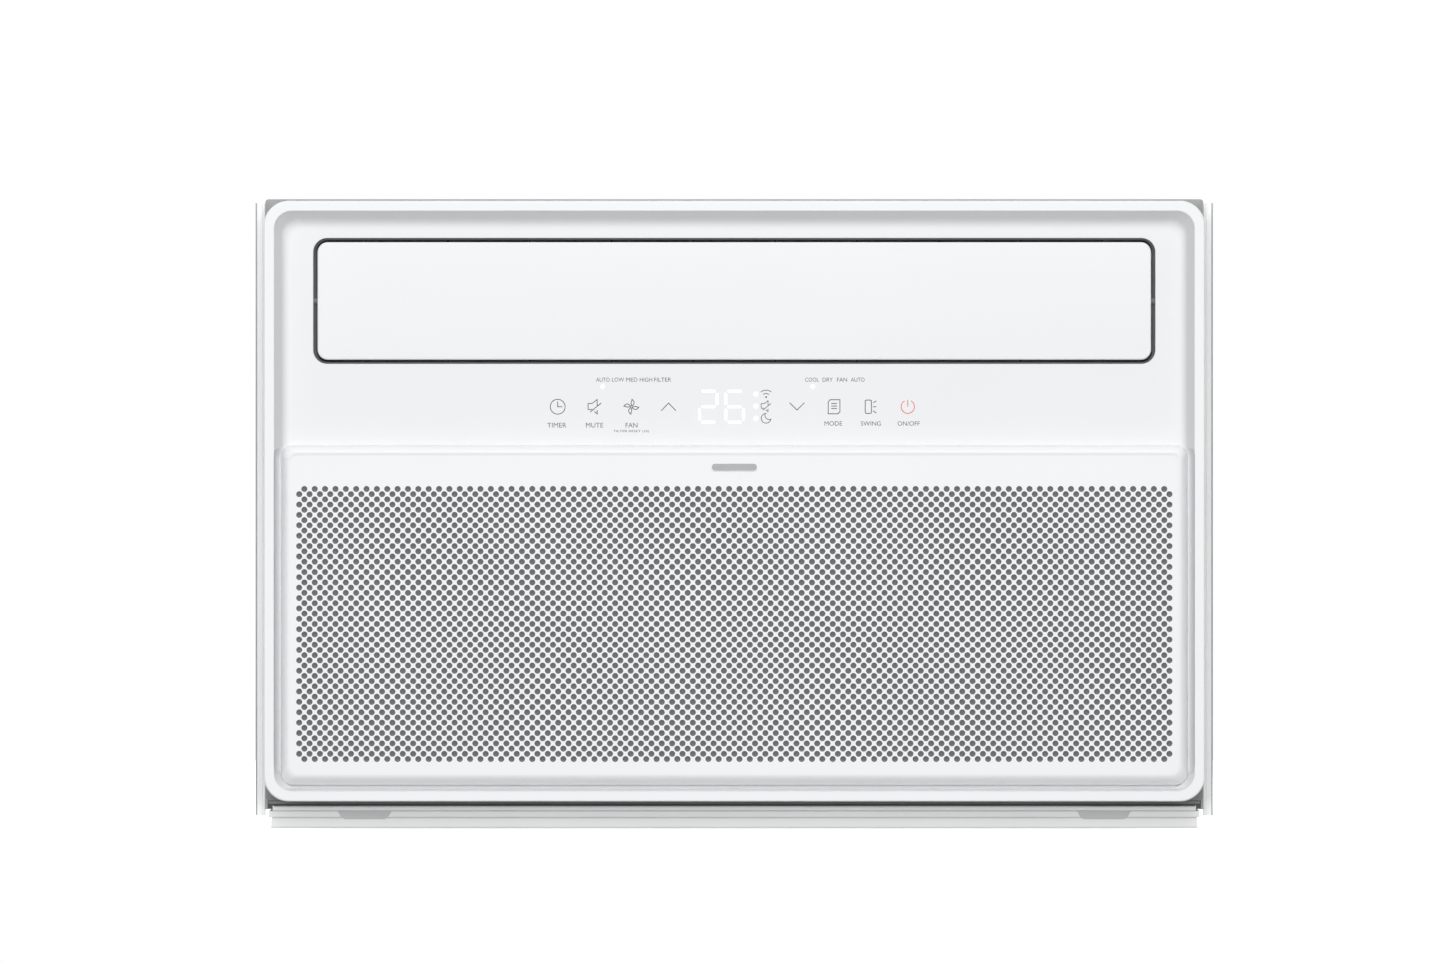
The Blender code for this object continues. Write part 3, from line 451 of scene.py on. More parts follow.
def make_door():
    """The outlet flap: slightly crowned from top to bottom, ribbed behind, with its two pivot lugs."""
    half = FLAP_HIGH.x
    low = FLAP_LOW.z
    high = FLAP_HIGH.z
    centre = (low + high) / 2
    edge = 1.1 * MM
    sections = [(half - inset, low + inset, high - inset, 7.3 * MM - inset, FIELD + 0.1 * MM + depth)
                for inset, depth in ((edge, 0.0), (0.62 * edge, 0.07 * edge), (0.33 * edge, 0.24 * edge),
                                     (0.12 * edge, 0.52 * edge), (0.0, edge), (0.0, 4.8 * MM),
                                     (0.4 * MM, 5.2 * MM))]
    bm = bmesh.new()
    skin(bm, depth_rings(sections))
    for step in range(1, 16):
        z = low + (high - low) * step / 16
        geometry = list(bm.verts) + list(bm.edges) + list(bm.faces)
        bmesh.ops.bisect_plane(bm, geom=geometry, plane_co=(0, 0, z), plane_no=(0, 0, 1))
    for vert in bm.verts:
        vert.co.y += 0.75 * MM * ((vert.co.z - centre) / (high - centre)) ** 2
    door = finish_mesh("outlet_door", bm, DOOR_WHITE, ("outlet_flap",), body="flap",
                       angle=35)
    soft_normals(door)

    bm = bmesh.new()
    back = FIELD + 5.0 * MM
    for z in (centre - 30 * MM, centre - 12 * MM, centre + 12 * MM, centre + 30 * MM):
        add_box(bm, (-half + 8 * MM, back, z - 0.7 * MM), (half - 8 * MM, back + 3.4 * MM, z + 0.7 * MM))
    for index in range(15):
        x = -half + 24 * MM + index * (2 * half - 48 * MM) / 14
        for start, end in ((-30, -12), (-12, 12), (12, 30)):
            add_box(bm, (x - 0.6 * MM, back, centre + start * MM + 0.7 * MM),
                    (x + 0.6 * MM, back + 2.8 * MM, centre + end * MM - 0.7 * MM))
    ribs = finish_mesh("outlet_door_ribs", bm, DOOR_WHITE, body="flap")
    bevel(ribs, 0.25)

    axis = Vector(JOINTS["flap_hinge"]["pos_m"])
    for side, sign in (("left", -1), ("right", 1)):
        bm = bmesh.new()
        outline = [(back - 0.5 * MM, -12 * MM)]
        for step in range(11):
            angle = math.radians(-70 + 140 * step / 10)
            outline.append((axis.y + 4.6 * MM * math.cos(angle), 4.6 * MM * math.sin(angle)))
        outline.append((back - 0.5 * MM, 12 * MM))
        skin(bm, [[(x, y, axis.z + z) for y, z in outline]
                  for x in (sign * (half - 3.5 * MM), sign * (half - 0.6 * MM))])
        lug = finish_mesh(f"outlet_door_lug_{side}", bm, DOOR_WHITE, body="flap")
        bevel(lug, 0.3)


# -------------------------------- perforated intake grille

HOLE_STEP_X = 3.633 * MM               # half the pitch of the staggered holes
HOLE_STEP_Z = 3.642 * MM
HOLE_RADIUS = 2.14 * MM
HOLE_SIDES = 12
HOLE_ROWS = 53
HOLE_EDGE = 85                         # steps from the middle to the side of the perforated field
FIRST_ROW = GRILLE_LOW.z + 18.2 * MM
GRILLE_FACE = FRONT + 0.9 * MM
SHEET_THICKNESS = 2.0 * MM


def lattice_point(column, row):
    return (column * HOLE_STEP_X, GRILLE_FACE, FIRST_ROW + row * HOLE_STEP_Z)


def make_sheet(name, bm, stands_for=()):
    """An open sheet of the grille: its faces turn to the front and it gets its thickness backwards."""
    bmesh.ops.recalc_face_normals(bm, faces=bm.faces)
    if sum(face.normal.y * face.calc_area() for face in bm.faces) > 0:
        bmesh.ops.reverse_faces(bm, faces=bm.faces)
    sheet = finish_mesh(name, bm, WHITE, stands_for, body="grille", recalc=False)
    modify(sheet, "SOLIDIFY", thickness=SHEET_THICKNESS, offset=-1.0)
    bake_modifiers(sheet)
    smooth_shade(sheet.data, 40)
    return sheet


def perforated_sheet(name, columns):
    """Diamond cells with a round hole each, on a staggered lattice; triangles fill its straight edges."""
    bm = bmesh.new()
    lattice = {}

    def corner(column, row):
        if (column, row) not in lattice:
            lattice[column, row] = bm.verts.new(lattice_point(column, row))
        return lattice[column, row]

    quarter = HOLE_SIDES // 4
    angles = [math.tau * (side + 0.5 - quarter / 2) / HOLE_SIDES for side in range(HOLE_SIDES)]
    for row in range(HOLE_ROWS):
        for column in columns:
            if (column + row) % 2 == 0 or abs(column) > HOLE_EDGE - 1:
                continue
            x, y, z = lattice_point(column, row)
            rim = [bm.verts.new((x + HOLE_RADIUS * math.cos(angle), y, z + HOLE_RADIUS * math.sin(angle)))
                   for angle in angles]
            around = [corner(column + 1, row), corner(column, row + 1), corner(column - 1, row),
                      corner(column, row - 1)]
            for number, tip in enumerate(around):
                start = number * quarter
                last = start + quarter - 1
                for side in range(start, last):
                    bm.faces.new((tip, rim[side + 1], rim[side]))
                bm.faces.new((tip, around[(number + 1) % 4], rim[(last + 1) % HOLE_SIDES], rim[last]))
    for column in columns:
        for row, inward in ((-1, 1), (HOLE_ROWS, -1)):
            if (column + row) % 2 and abs(column) < HOLE_EDGE:
                bm.faces.new((corner(column - 1, row), corner(column + 1, row),
                              corner(column, row + inward)))
    for row in range(HOLE_ROWS):
        for side in (-1, 1):
            if side * HOLE_EDGE in columns and (HOLE_EDGE + row) % 2:
                bm.faces.new((corner(side * HOLE_EDGE, row - 1), corner(side * HOLE_EDGE, row + 1),
                              corner(side * (HOLE_EDGE - 1), row)))
    make_sheet(name, bm)


# the panel's top edge: share of the way out, and how fast the face falls back there; a bead comes first
TOP_EDGE_SLOPES = ((0.0, -0.02), (0.12, -0.14), (0.20, -0.24), (0.28, -0.24), (0.34, 0.1), (0.42, 0.5),
                   (0.60, 0.8), (0.75, 1.2), (0.88, 1.9), (1.0, 2.4))


def between(table, at):
    """The table's value at a place, straight between its rows."""
    for (x0, y0), (x1, y1) in zip(table, table[1:]):
        if at <= x1:
            return y0 + (y1 - y0) * (at - x0) / (x1 - x0)
    return table[-1][1]


def make_grille_surround():
    """The panel round the holes: a flat band, then edges that roll back to the pocket."""
    half = GRILLE_HIGH.x
    low = GRILLE_LOW.z
    high = GRILLE_HIGH.z
    side_roll = 6.8 * MM               # widths of the rolled edges
    top_roll = 7.6 * MM
    low_roll = 7.8 * MM
    drop = 4.6 * MM                    # how far the edges fall back
    soft = 0.85                        # share of the roll that eases into the straight slope
    steps = 24
    top = 0.0                          # how far the top edge has fallen back so far
    rings = []
    for step in range(-1, steps + 1):
        reach = 0.6 * step / steps if step < 0 else step / steps
        inset = 1 - reach
        depth = 0.0 if step < 0 else (reach * reach / (2 * soft)
                                      if reach < soft else reach - soft / 2) / (1 - soft / 2)
        if step > 0:
            top += between(TOP_EDGE_SLOPES, reach - 0.5 / steps) * top_roll / steps
        extra = top - drop * depth
        rings.append([(x, GRILLE_FACE + drop * depth
                       + extra * min(1.0, max(0.0, (z - high + 14 * MM) / (5 * MM))), z)
                      for x, z in ring_points(half - side_roll * inset, low + low_roll * inset,
                                              high - top_roll * inset, (8.2 - 3.0 * inset) * MM)])
    rings.append([(x, FRONT + 8.4 * MM, z) for x, z in ring_points(half, low, high, 8.2 * MM)])
    bm = bmesh.new()
    flat = skin(bm, rings, caps=(False, False))[0]
    per_corner = CORNER_STEPS + 1
    middle = per_corner // 2
    corners = [flat[per_corner * k:per_corner * (k + 1)] for k in range(4)]
    odd = [c for c in range(-HOLE_EDGE, HOLE_EDGE + 1) if c % 2]
    rows_odd = [r for r in range(-1, HOLE_ROWS + 1) if r % 2]
    # right, top, left and bottom edge of the perforated field; one flat face lies outside each
    edges = ([(HOLE_EDGE, r) for r in reversed(rows_odd)], [(c, HOLE_ROWS) for c in odd],
             [(-HOLE_EDGE, r) for r in rows_odd], [(c, -1) for c in reversed(odd)])
    inner = {key: bm.verts.new(lattice_point(*key)) for key in sorted(set().union(*edges))}
    for number, edge in enumerate(edges):
        bm.faces.new(corners[number][middle:] + corners[(number + 1) % 4][:middle + 1]
                     + [inner[key] for key in edge])
    soft_normals(make_sheet("grille_surround", bm, ("intake_grille",)))


def make_dust_screen():
    """The grey net that backs the holes, stuck to the panel's inner face."""
    reach = (HOLE_EDGE + 0.8) * HOLE_STEP_X
    low = FIRST_ROW - 1.8 * HOLE_STEP_Z
    high = FIRST_ROW + (HOLE_ROWS + 0.8) * HOLE_STEP_Z
    behind = GRILLE_FACE + SHEET_THICKNESS
    bm = bmesh.new()
    skin(bm, depth_rings([(reach, low, high, 3.0 * MM, behind + depth * MM) for depth in (0.05, 0.5)]))
    finish_mesh("grille_dust_screen", bm, SCREEN, body="grille")


# -------------------------------- control legends and lamps

LEGEND_LIFT = 0.05 * MM
STROKE = 0.56                          # millimetres


def finish_print(name, bm, material):
    """Flat print, each face turned to the front."""
    for face in bm.faces:
        face.normal_update()
        if face.normal.y > 0:
            face.normal_flip()
    finish_mesh(name, bm, material, recalc=False)


class Drawing:
    """Flat strokes and fills on the control field, in millimetres about a centre; one mesh in the end."""

    def __init__(self, x=0.0, z=0.0, scale=1.0):
        self.bm = bmesh.new()
        self.move(x, z, scale)

    def move(self, x, z, scale=1.0):
        self.centre = (x * MM, z * MM)
        self.scale = scale * MM
        return self

    def point(self, x, z):
        return self.bm.verts.new((self.centre[0] + x * self.scale, FIELD - LEGEND_LIFT,
                                  self.centre[1] + z * self.scale))

    def fill(self, outline):
        self.bm.faces.new([self.point(x, z) for x, z in outline])

    def stroke(self, points, width=STROKE, closed=False):
        """A line of even width through the points, mitred at its corners."""
        half = width / 2
        count = len(points)
        sides = []
        for index, point in enumerate(points):
            normals = []               # of the one or two segments that meet here
            for first, last in ((index - 1, index), (index, index + 1)):
                if closed or 0 <= first and last < count:
                    along = (Vector(points[last % count]) - Vector(points[first])).normalized()
                    normals.append(Vector((-along.y, along.x)))
            across = sum(normals, Vector((0.0, 0.0))).normalized()
            reach = half / max(0.35, across.dot(normals[-1])) if len(normals) == 2 else half
            sides.append((self.point(point[0] + across.x * reach, point[1] + across.y * reach),
                          self.point(point[0] - across.x * reach, point[1] - across.y * reach)))
        pairs = list(zip(sides, sides[1:]))
        if closed:
            pairs.append((sides[-1], sides[0]))
        for (a, b), (c, d) in pairs:
            self.bm.faces.new((a, b, d, c))

    def arc(self, radius, start, end, x=0.0, z=0.0, width=STROKE, steps=32):
        angles = [math.radians(start + (end - start) * step / steps) for step in range(steps + 1)]
        self.stroke([(x + radius * math.cos(a), z + radius * math.sin(a)) for a in angles], width)

    def circle(self, radius, x=0.0, z=0.0, width=STROKE, steps=40):
        self.stroke(circle_points(radius, steps, x, z), width, closed=True)

    def disc(self, radius, x=0.0, z=0.0, steps=28):
        self.fill(circle_points(radius, steps, x, z))

    def finish(self, name, material):
        bmesh.ops.recalc_face_normals(self.bm, faces=self.bm.faces)
        finish_print(name, self.bm, material)


def draw_mute(ink, width=STROKE):
    ink.stroke([(-1.7, 2.3), (-4.56, 2.3), (-4.56, -1.9), (-1.7, -1.9)], width)
    ink.stroke([(-1.7, 2.3), (1.8, 5.1), (1.8, 0.6)], width)
    ink.stroke([(-3.2, -3.8), (4.6, 2.6)], width)
    ink.stroke([(-0.2, -3.3), (1.8, -5.1), (1.8, -2.4)], width)


def draw_fan(ink):
    """Four petals, each a leaf that curls clockwise."""
    for quarter in range(4):
        turn = math.radians(90 * quarter)
        leaf = []
        for step in range(17):
            t = step / 16
            leaf.append((0.35 + 1.55 * math.sin(math.pi * t) ** 0.8, 0.5 + 4.7 * t))
        leaf += [(0.35 - 0.75 * math.sin(math.pi * t) + 0.4 * t, 0.5 + 4.7 * t)
                 for t in ((15 - step) / 16 for step in range(15))]
        points = [(x * math.cos(turn) + z * math.sin(turn), z * math.cos(turn) - x * math.sin(turn))
                  for x, z in leaf]
        ink.stroke(points, closed=True)


def draw_icons():
    row = 295.8
    ink = Drawing()
    ink.move(-123.9, row).circle(5.2)
    ink.stroke([(0.0, 3.6), (0.0, 0.0), (3.3, 0.0)])
    draw_mute(ink.move(-98.0, row))
    draw_fan(ink.move(-72.2, row))
    ink.move(-46.1, row).stroke([(-5.15, -2.8), (0.0, 2.6), (5.15, -2.8)], 0.55)
    ink.move(44.0, row).stroke([(-5.2, 2.8), (0.0, -2.3), (5.2, 2.8)], 0.55)
    ink.move(70.0, row).stroke([(-2.6, 4.95), (4.1, 4.95), (4.1, -3.5), (2.6, -4.95), (-4.1, -4.95),
                                (-4.1, 3.5)], closed=True)
    for line in (2.2, 0.46, -1.28):
        ink.stroke([(-2.05, line), (2.05, line)])
    ink.move(95.8, row).stroke(rounded_box(-3.95, -4.7, 0.4, 4.7, 0.9), closed=True)
    for start, end in ((2.8, 4.1), (0.0, 0.0), (-2.9, -4.4)):
        ink.stroke([(1.6, start), (3.8, end)])
    ink.finish("legend_icons", INK)

    red = Drawing(121.7, row)
    red.arc(4.65, 118, 422, width=0.6)
    red.stroke([(0.0, 4.8), (0.0, 0.2)], 0.6)
    red.finish("legend_power", RED_INK)

    small = Drawing(22.3, 302.6)
    small.arc(5.6, 50, 130, z=-0.75, width=0.5, steps=12)
    small.arc(3.2, 50, 130, z=-0.75, width=0.5, steps=10)
    small.disc(0.65)
    draw_mute(small.move(22.3, 296.2, 0.76), 0.6)
    small.move(22.3, 287.7)
    outer = [math.radians(88 + 262 * step / 24) for step in range(25)]
    inner = [math.radians(292 - 144 * step / 16) for step in range(1, 16)]
    small.stroke([(3.4 * math.cos(a), 3.4 * math.sin(a)) for a in outer]
                 + [(2.3 + 3.1 * math.cos(a), 2.2 + 3.1 * math.sin(a)) for a in inner], 0.5, closed=True)
    small.finish("legend_status", INK)


SEGMENTS = {"2": "abged", "6": "afgedc"}    # lit bars of each digit, lettered clockwise from the top


def draw_lamps():
    """The two lit digits and the small round lamps, behind the thin white field."""
    lamp = Drawing()
    width = 14.2
    height = 23.5
    thick = 1.8
    for centre, digit in ((-18.2, "2"), (0.2, "6")):
        lamp.move(centre, 295.8)
        x = (width - thick) / 2
        z = (height - thick) / 2
        across = 4.9
        near = 1.25
        far = z - 1.25
        spans = {"a": ((-across, z), (across, z)), "g": ((-across, 0), (across, 0)),
                 "d": ((-across, -z), (across, -z)),
                 "b": ((x, near), (x, far)), "c": ((x, -far), (x, -near)),
                 "f": ((-x, near), (-x, far)), "e": ((-x, -far), (-x, -near))}
        for key in SEGMENTS[digit]:
            (x0, z0), (x1, z1) = spans[key]
            wide, tall = (thick / 2, 0.0) if x0 == x1 else (0.0, thick / 2)
            lamp.fill(rounded_box(x0 - wide, z0 - tall, x1 + wide, z1 + tall, 0.9))
    for x, z, radius in ((15.1, 304.7, 1.6), (15.1, 296.2, 1.6), (15.1, 287.7, 1.6),
                         (-92.3, 310.0, 1.5), (55.1, 310.0, 1.5)):
        lamp.move(x, z).disc(radius)
    lamp.finish("display_lamps", LAMP)


def write_words(words, name):
    """Generic function words in the built-in plain typeface: (word, left, right, baseline, cap height)."""
    bm = bmesh.new()
    for word, left, right, base, cap in words:
        curve = bpy.data.curves.new(word, "FONT")
        curve.body = word
        curve.offset = -0.003
        curve.resolution_u = 5
        item = link_object(word, curve)
        mesh = bpy.data.meshes.new_from_object(item.evaluated_get(bpy.context.evaluated_depsgraph_get()))
        across = [vert.co.x for vert in mesh.vertices]
        up = [vert.co.y for vert in mesh.vertices]
        wide = (right - left) / (max(across) - min(across))
        tall = cap / (max(up) - min(up))
        for vert in mesh.vertices:
            vert.co = ((left + (vert.co.x - min(across)) * wide) * MM, FIELD - LEGEND_LIFT,
                       (base + (vert.co.y - min(up)) * tall) * MM)
        bm.from_mesh(mesh)
        bpy.data.meshes.remove(mesh)
        bpy.data.objects.remove(item, do_unlink=True)
        bpy.data.curves.remove(curve)
    finish_print(name, bm, INK)


def write_legends():
    write_words([(word, centre - width / 2, centre + width / 2, base, cap)
                 for word, centre, width, base, cap in (
                     ("TIMER", -124.5, 13.4, 281.2, 3.3), ("MUTE", -98.0, 12.1, 281.2, 3.3),
                     ("FAN", -72.1, 8.3, 281.2, 3.3), ("FILTER RESET (3S)", -72.0, 24.4, 277.5, 2.0),
                     ("MODE", 69.5, 12.4, 282.5, 3.1), ("SWING", 95.8, 14.1, 282.5, 3.1),
                     ("ON/OFF", 122.4, 15.5, 282.5, 3.1))], "legend_keys")
    write_words([(word, left, right, 313.4, 2.8) for word, left, right in (
        ("AUTO", -97.0, -87.4), ("LOW", -85.8, -77.4), ("MED", -75.9, -68.0), ("HIGH", -66.3, -57.6),
        ("FILTER", -56.2, -44.3), ("COOL", 49.7, 59.3), ("DRY", 61.9, 69.0), ("FAN", 72.1, 79.1),
        ("AUTO", 81.7, 91.4))], "legend_modes")


# -------------------------------- outlet behind the door

def make_outlet_lip():
    """A dark gasket round the mouth of the outlet, seen through the gap about the door."""
    outside = 3.3 * MM
    bm = bmesh.new()
    skin(bm, depth_rings([(FLAP_HIGH.x + side_room, FLAP_LOW.z - top_room, FLAP_HIGH.z + top_room,
                           7.0 * MM + side_room, FIELD + depth * MM)
                          for side_room, top_room, depth in (
                              (outside, outside, 9.0), (0.6 * MM, 1.5 * MM, 9.0),
                              (0.6 * MM, 1.5 * MM, 10.4), (outside, outside, 10.4))]), closed=True)
    finish_mesh("outlet_lip", bm, LIP_AND_GAP_SHADE, angle=35)


def round_vanes():
    """Soft edges on the moulded vanes."""
    for index in range(1, 11):
        modify(NODES[f"air_vane_{index:02d}"], "BEVEL", width=0.45 * MM, segments=3, limit_method="ANGLE")


# -------------------------------- sheet-metal cabinet

def screw(bm, place, axis, sign):
    """A hex washer head on a wall that faces along the axis, or against it."""
    radius = 3.6 * MM
    add_turned(bm, [(0.1 * MM, 0.0), (radius, 0.0), (radius, sign * 0.45 * MM),
                    (0.72 * radius, sign * 0.5 * MM)], place, axis, 28, (False, False))
    add_turned(bm, [(0.66 * radius, sign * 0.45 * MM), (0.66 * radius, sign * 1.35 * MM),
                    (0.56 * radius, sign * 1.6 * MM)], place, axis, 6, (False, True))


def make_cabinet_details():
    """Front return flange, louvre hoods beside the slots and the screws."""
    face = CABINET_LOW.y - 0.1 * MM
    back = CABINET_LOW.y + 1.4 * MM
    bm = bmesh.new()
    rings = []
    for inset, y in ((-0.1, back), (-0.1, face + 0.5 * MM), (0.8, face), (14.0, face), (14.0, back)):
        rings.append([(x, y, z) for x, z in ring_points(CABINET_HIGH.x - inset * MM,
                                                        BEZEL_LOW.z + 0.3 * inset * MM,
                                                        CABINET_HIGH.z + (0.8 - inset) * MM, 2.2 * MM, 5)])
    skin(bm, rings, closed=True)
    edges = bm.faces[:]
    # painted shade: a dark strip across the front stands for the shaded underside of the bezel
    add_box(bm, (-CABINET_HIGH.x + 2 * MM, face + 3.0 * MM, 16.7 * MM),
            (CABINET_HIGH.x - 2 * MM, face + 3.9 * MM, 24.0 * MM))
    # painted shade on the flange's outer side edges
    for item in edges:
        if CABINET_HIGH.x - abs(item.calc_center_median().x) < 0.9 * MM:
            item.material_index = 1
    flange = finish_mesh("cabinet_front_flange", bm, FLANGE_AND_UNDERSIDE_SHADE, angle=35)
    flange.data.materials.append(FLANGE_EDGE_SHADE)

    # painted shade: a dark strip fills the gap under the bezel, and a post at each end draws its dark ends
    bm = bmesh.new()
    half = CABINET_HIGH.x - 1.8 * MM
    add_box(bm, (-half, CABINET_LOW.y + 4.0 * MM, 15.2 * MM), (half, CABINET_LOW.y + 5.5 * MM, 24.0 * MM))
    for sign in (-1, 1):
        ends = sorted((sign * half, sign * (half - 3.2 * MM)))
        add_box(bm, (ends[0], CABINET_LOW.y + 4.0 * MM, CABINET_LOW.z + 0.2 * MM),
                (ends[1], CABINET_LOW.y + 5.5 * MM, 15.15 * MM))
    finish_mesh("base_gap_shade", bm, LIP_AND_GAP_SHADE)

    bm = bmesh.new()
    steps = 7
    reach = 5.2 * MM
    first_slot = 0.120                 # height of the lowest louvre, and the pitch, in metres
    slot_pitch = 0.028
    for sign in (-1, 1):
        face = sign * (CABINET_HIGH.x - 1.5 * MM)
        for row in range(9):
            z = first_slot + slot_pitch * row
            for start in (0.060, 0.190):
                rings = []
                for y, size in ((start - 4 * MM, 0.5), (start - 2 * MM, 1.0), (start + 0.107, 1.0),
                                (start + 0.109, 0.5)):
                    curve = [(face - sign * reach * size * math.sin(math.pi / 2 * k / steps),
                              z + 10.0 * MM - 10.0 * MM * size * (1 - math.cos(math.pi / 2 * k / steps)))
                             for k in range(steps + 1)]
                    inner = [(x + sign * 0.9 * MM * size, w + 0.5 * MM * size) for x, w in reversed(curve)]
                    rings.append([(x, y, w) for x, w in curve + inner])
                skin(bm, rings)
    finish_mesh("cabinet_louvre_hoods", bm, CABINET_PAINT, angle=35)

    bm = bmesh.new()
    for sign in (-1, 1):
        side = sign * CABINET_HIGH.x
        for y in (-0.205, 0.020, 0.318):
            screw(bm, (side, y, 22.0 * MM), "X", sign)
        for z in (0.10, 0.25, 0.40):
            screw(bm, (side, 0.318, z), "X", sign)
    for x in (-0.28, 0.0, 0.28):
        screw(bm, (x, -0.235, CABINET_HIGH.z - 1.6 * MM), "Z", 1)
    finish_mesh("cabinet_screws", bm, STEEL, angle=25)


# -------------------------------- side channels and base

def make_channels():
    """Folded channel on each side; its outer lip is rolled and its web sits between two lips."""
    for side, sign in (("left", -1), ("right", 1)):
        node = f"side_channel_{side}"
        low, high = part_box(node)
        inner = min(abs(low.x), abs(high.x))
        outer = max(abs(low.x), abs(high.x)) + 1.2 * MM
        front = low.y
        back = high.y
        profile = [(inner, back), (inner, front + 0.6 * MM), (inner + 0.3 * MM, front),
                   (inner + 2.0 * MM, front), (inner + 2.3 * MM, front + 0.5 * MM),
                   (outer - 1.1 * MM, front + 0.7 * MM)]
        profile += arc_between((outer - 0.9 * MM, front + 0.3 * MM), (outer, front + 0.1 * MM),
                               (outer, front + 1.4 * MM), 6)
        profile += [(outer - 0.7 * MM, front + 1.7 * MM), (inner + 1.5 * MM, front + 1.7 * MM),
                    (inner + 1.5 * MM, back - 1.7 * MM), (outer - 0.7 * MM, back - 1.7 * MM),
                    (outer, back - 1.2 * MM), (outer, back)]
        bm = bmesh.new()
        skin(bm, [[(sign * x, y, z) for x, y in profile] for z in (low.z, high.z)])
        # painted shade on the rolled outer lip
        for item in bm.faces:
            middle = item.calc_center_median()
            if abs(middle.x) > outer - 1.0 * MM and middle.y < front + 2 * MM:
                item.material_index = 1
        channel = finish_mesh(f"channel_{side}", bm, CHANNEL_WHITE, (node,))
        channel.data.materials.append(ROLLED_LIP_SHADE)
        bevel(channel, 0.15)


def make_base():
    """Stepped front skirt of the base pan: three folded bands, each with a soft upper and lower fold."""
    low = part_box("base_pan")[0]
    front = low.y
    bm = bmesh.new()
    for start, top, half in ((0.1, 6.6, 325.6), (7.2, 11.2, 327.5), (11.8, 14.8, 324.7)):
        z0 = low.z + start * MM
        z1 = low.z + top * MM
        section = [(front + 0.3 * MM, z0), (front, z0 + 0.2 * MM), (front - 0.18 * MM, z0 + 0.5 * MM),
                   (front - 0.18 * MM, z1 - 0.4 * MM), (front + 0.1 * MM, z1), (front + 3 * MM, z1),
                   (front + 3 * MM, z0)]
        skin(bm, [[(x, y, z) for y, z in section] for x in (-half * MM, half * MM)])
    finish_mesh("base_front_bands", bm, PAN_PAINT, angle=25)
    # painted shade: thin dark strips draw the shadow lines between the bands
    bm = bmesh.new()
    for start, top in ((6.65, 7.15), (11.25, 11.75)):
        add_box(bm, (-325.0 * MM, front - 0.05 * MM, low.z + start * MM),
                (325.0 * MM, front + 1 * MM, low.z + top * MM))
    finish_mesh("base_front_shadow_lines", bm, TAB_AND_SHADOW_LINE_PAINT)
    for side in ("left", "right"):
        NODES[f"front_tab_{side}"].data.materials[0] = TAB_AND_SHADOW_LINE_PAINT


# -------------------------------- coils

def make_coil(node, name, fin_pitch, columns, rows):
    """Fins whose collars hide the tubes between the end plates, and copper return bends outside them."""
    low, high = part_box(node)
    plate = 1.2 * MM
    bend = 9.0 * MM                    # room for the return bends past each end plate
    stub = 2.0 * MM
    inset = 2.0 * MM
    fin = 0.15 * MM                    # half of a fin's thickness
    radius = 3.6 * MM
    sides = 10
    start = low.x + bend
    end = high.x - bend
    pitch = (high.z - low.z - 2 * inset) / rows
    tubes = []
    for column in range(columns):
        y = low.y + (high.y - low.y) * (column + 0.5) / columns
        shift = pitch / 4 if column % 2 else -pitch / 4
        tubes.append((y, [low.z + inset + pitch * (row + 0.5) + shift for row in range(rows)]))

    bm = bmesh.new()
    for index in range(int((end - start - 2 * plate) / fin_pitch)):
        x = start + plate + (index + 0.5) * fin_pitch
        add_box(bm, (x - fin, low.y + inset, low.z + inset), (x + fin, high.y - inset, high.z - inset))
    for y, heights in tubes:
        for z in heights:
            add_turned(bm, [(radius, start + plate), (radius, end - plate)], (0.0, y, z), "X", sides)
    finish_mesh(f"{name}_fins", bm, FINS, (node,))

    bm = bmesh.new()
    for x in (start, end):
        add_box(bm, (x - plate / 2, low.y + 0.4 * MM, low.z + 0.4 * MM),
                (x + plate / 2, high.y - 0.4 * MM, high.z - 0.4 * MM))
    finish_mesh(f"{name}_end_plates", bm, STEEL)

    bm = bmesh.new()
    for y, heights in tubes:
        for sign, edge, first in ((-1, start, 0), (1, end, 1)):
            for z in heights:
                ends = sorted((edge - sign * plate, edge + sign * stub))
                add_turned(bm, [(radius, ends[0]), (radius, ends[1])], (0.0, y, z), "X", sides)
            for lower, upper in zip(heights[first::2], heights[first + 1::2]):
                middle = (lower + upper) / 2
                reach = (upper - lower) / 2
                rings = []
                for step in range(9):
                    angle = math.pi * step / 8
                    spot = Vector((edge + sign * (stub + min(reach, bend - 6 * MM) * math.sin(angle)), y,
                                   middle - reach * math.cos(angle)))
                    along = Vector((sign * math.cos(angle), 0.0, math.sin(angle))).normalized()
                    across = Vector((0.0, 1.0, 0.0))
                    other = along.cross(across)
                    rings.append([spot + across * a + other * b for a, b in circle_points(radius, sides)])
                skin(bm, rings)
    finish_mesh(f"{name}_tubes", bm, COPPER, angle=35)


def make_coils():
    make_coil("condenser_coil", "condenser", 1.9 * MM, 2, 18)
    make_coil("evaporator_coil", "evaporator", 1.7 * MM, 2, 13)
    low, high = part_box("condenser_coil")
    side = CABINET_HIGH.x - 1.9 * MM
    behind = high.y + 0.8 * MM
    bm = bmesh.new()
    for ends in ((-side, low.x + 10.6 * MM), (high.x - 10.6 * MM, side)):
        add_box(bm, (ends[0], behind, 13.6 * MM), (ends[1], behind + 1.0 * MM, high.z - 2.4 * MM))
    add_box(bm, (-side, behind, high.z - 2.2 * MM), (side, behind + 1.0 * MM, CABINET_HIGH.z - 2.0 * MM))
    finish_mesh("condenser_baffles", bm, STEEL)


# -------------------------------- finishes of the CAD nodes

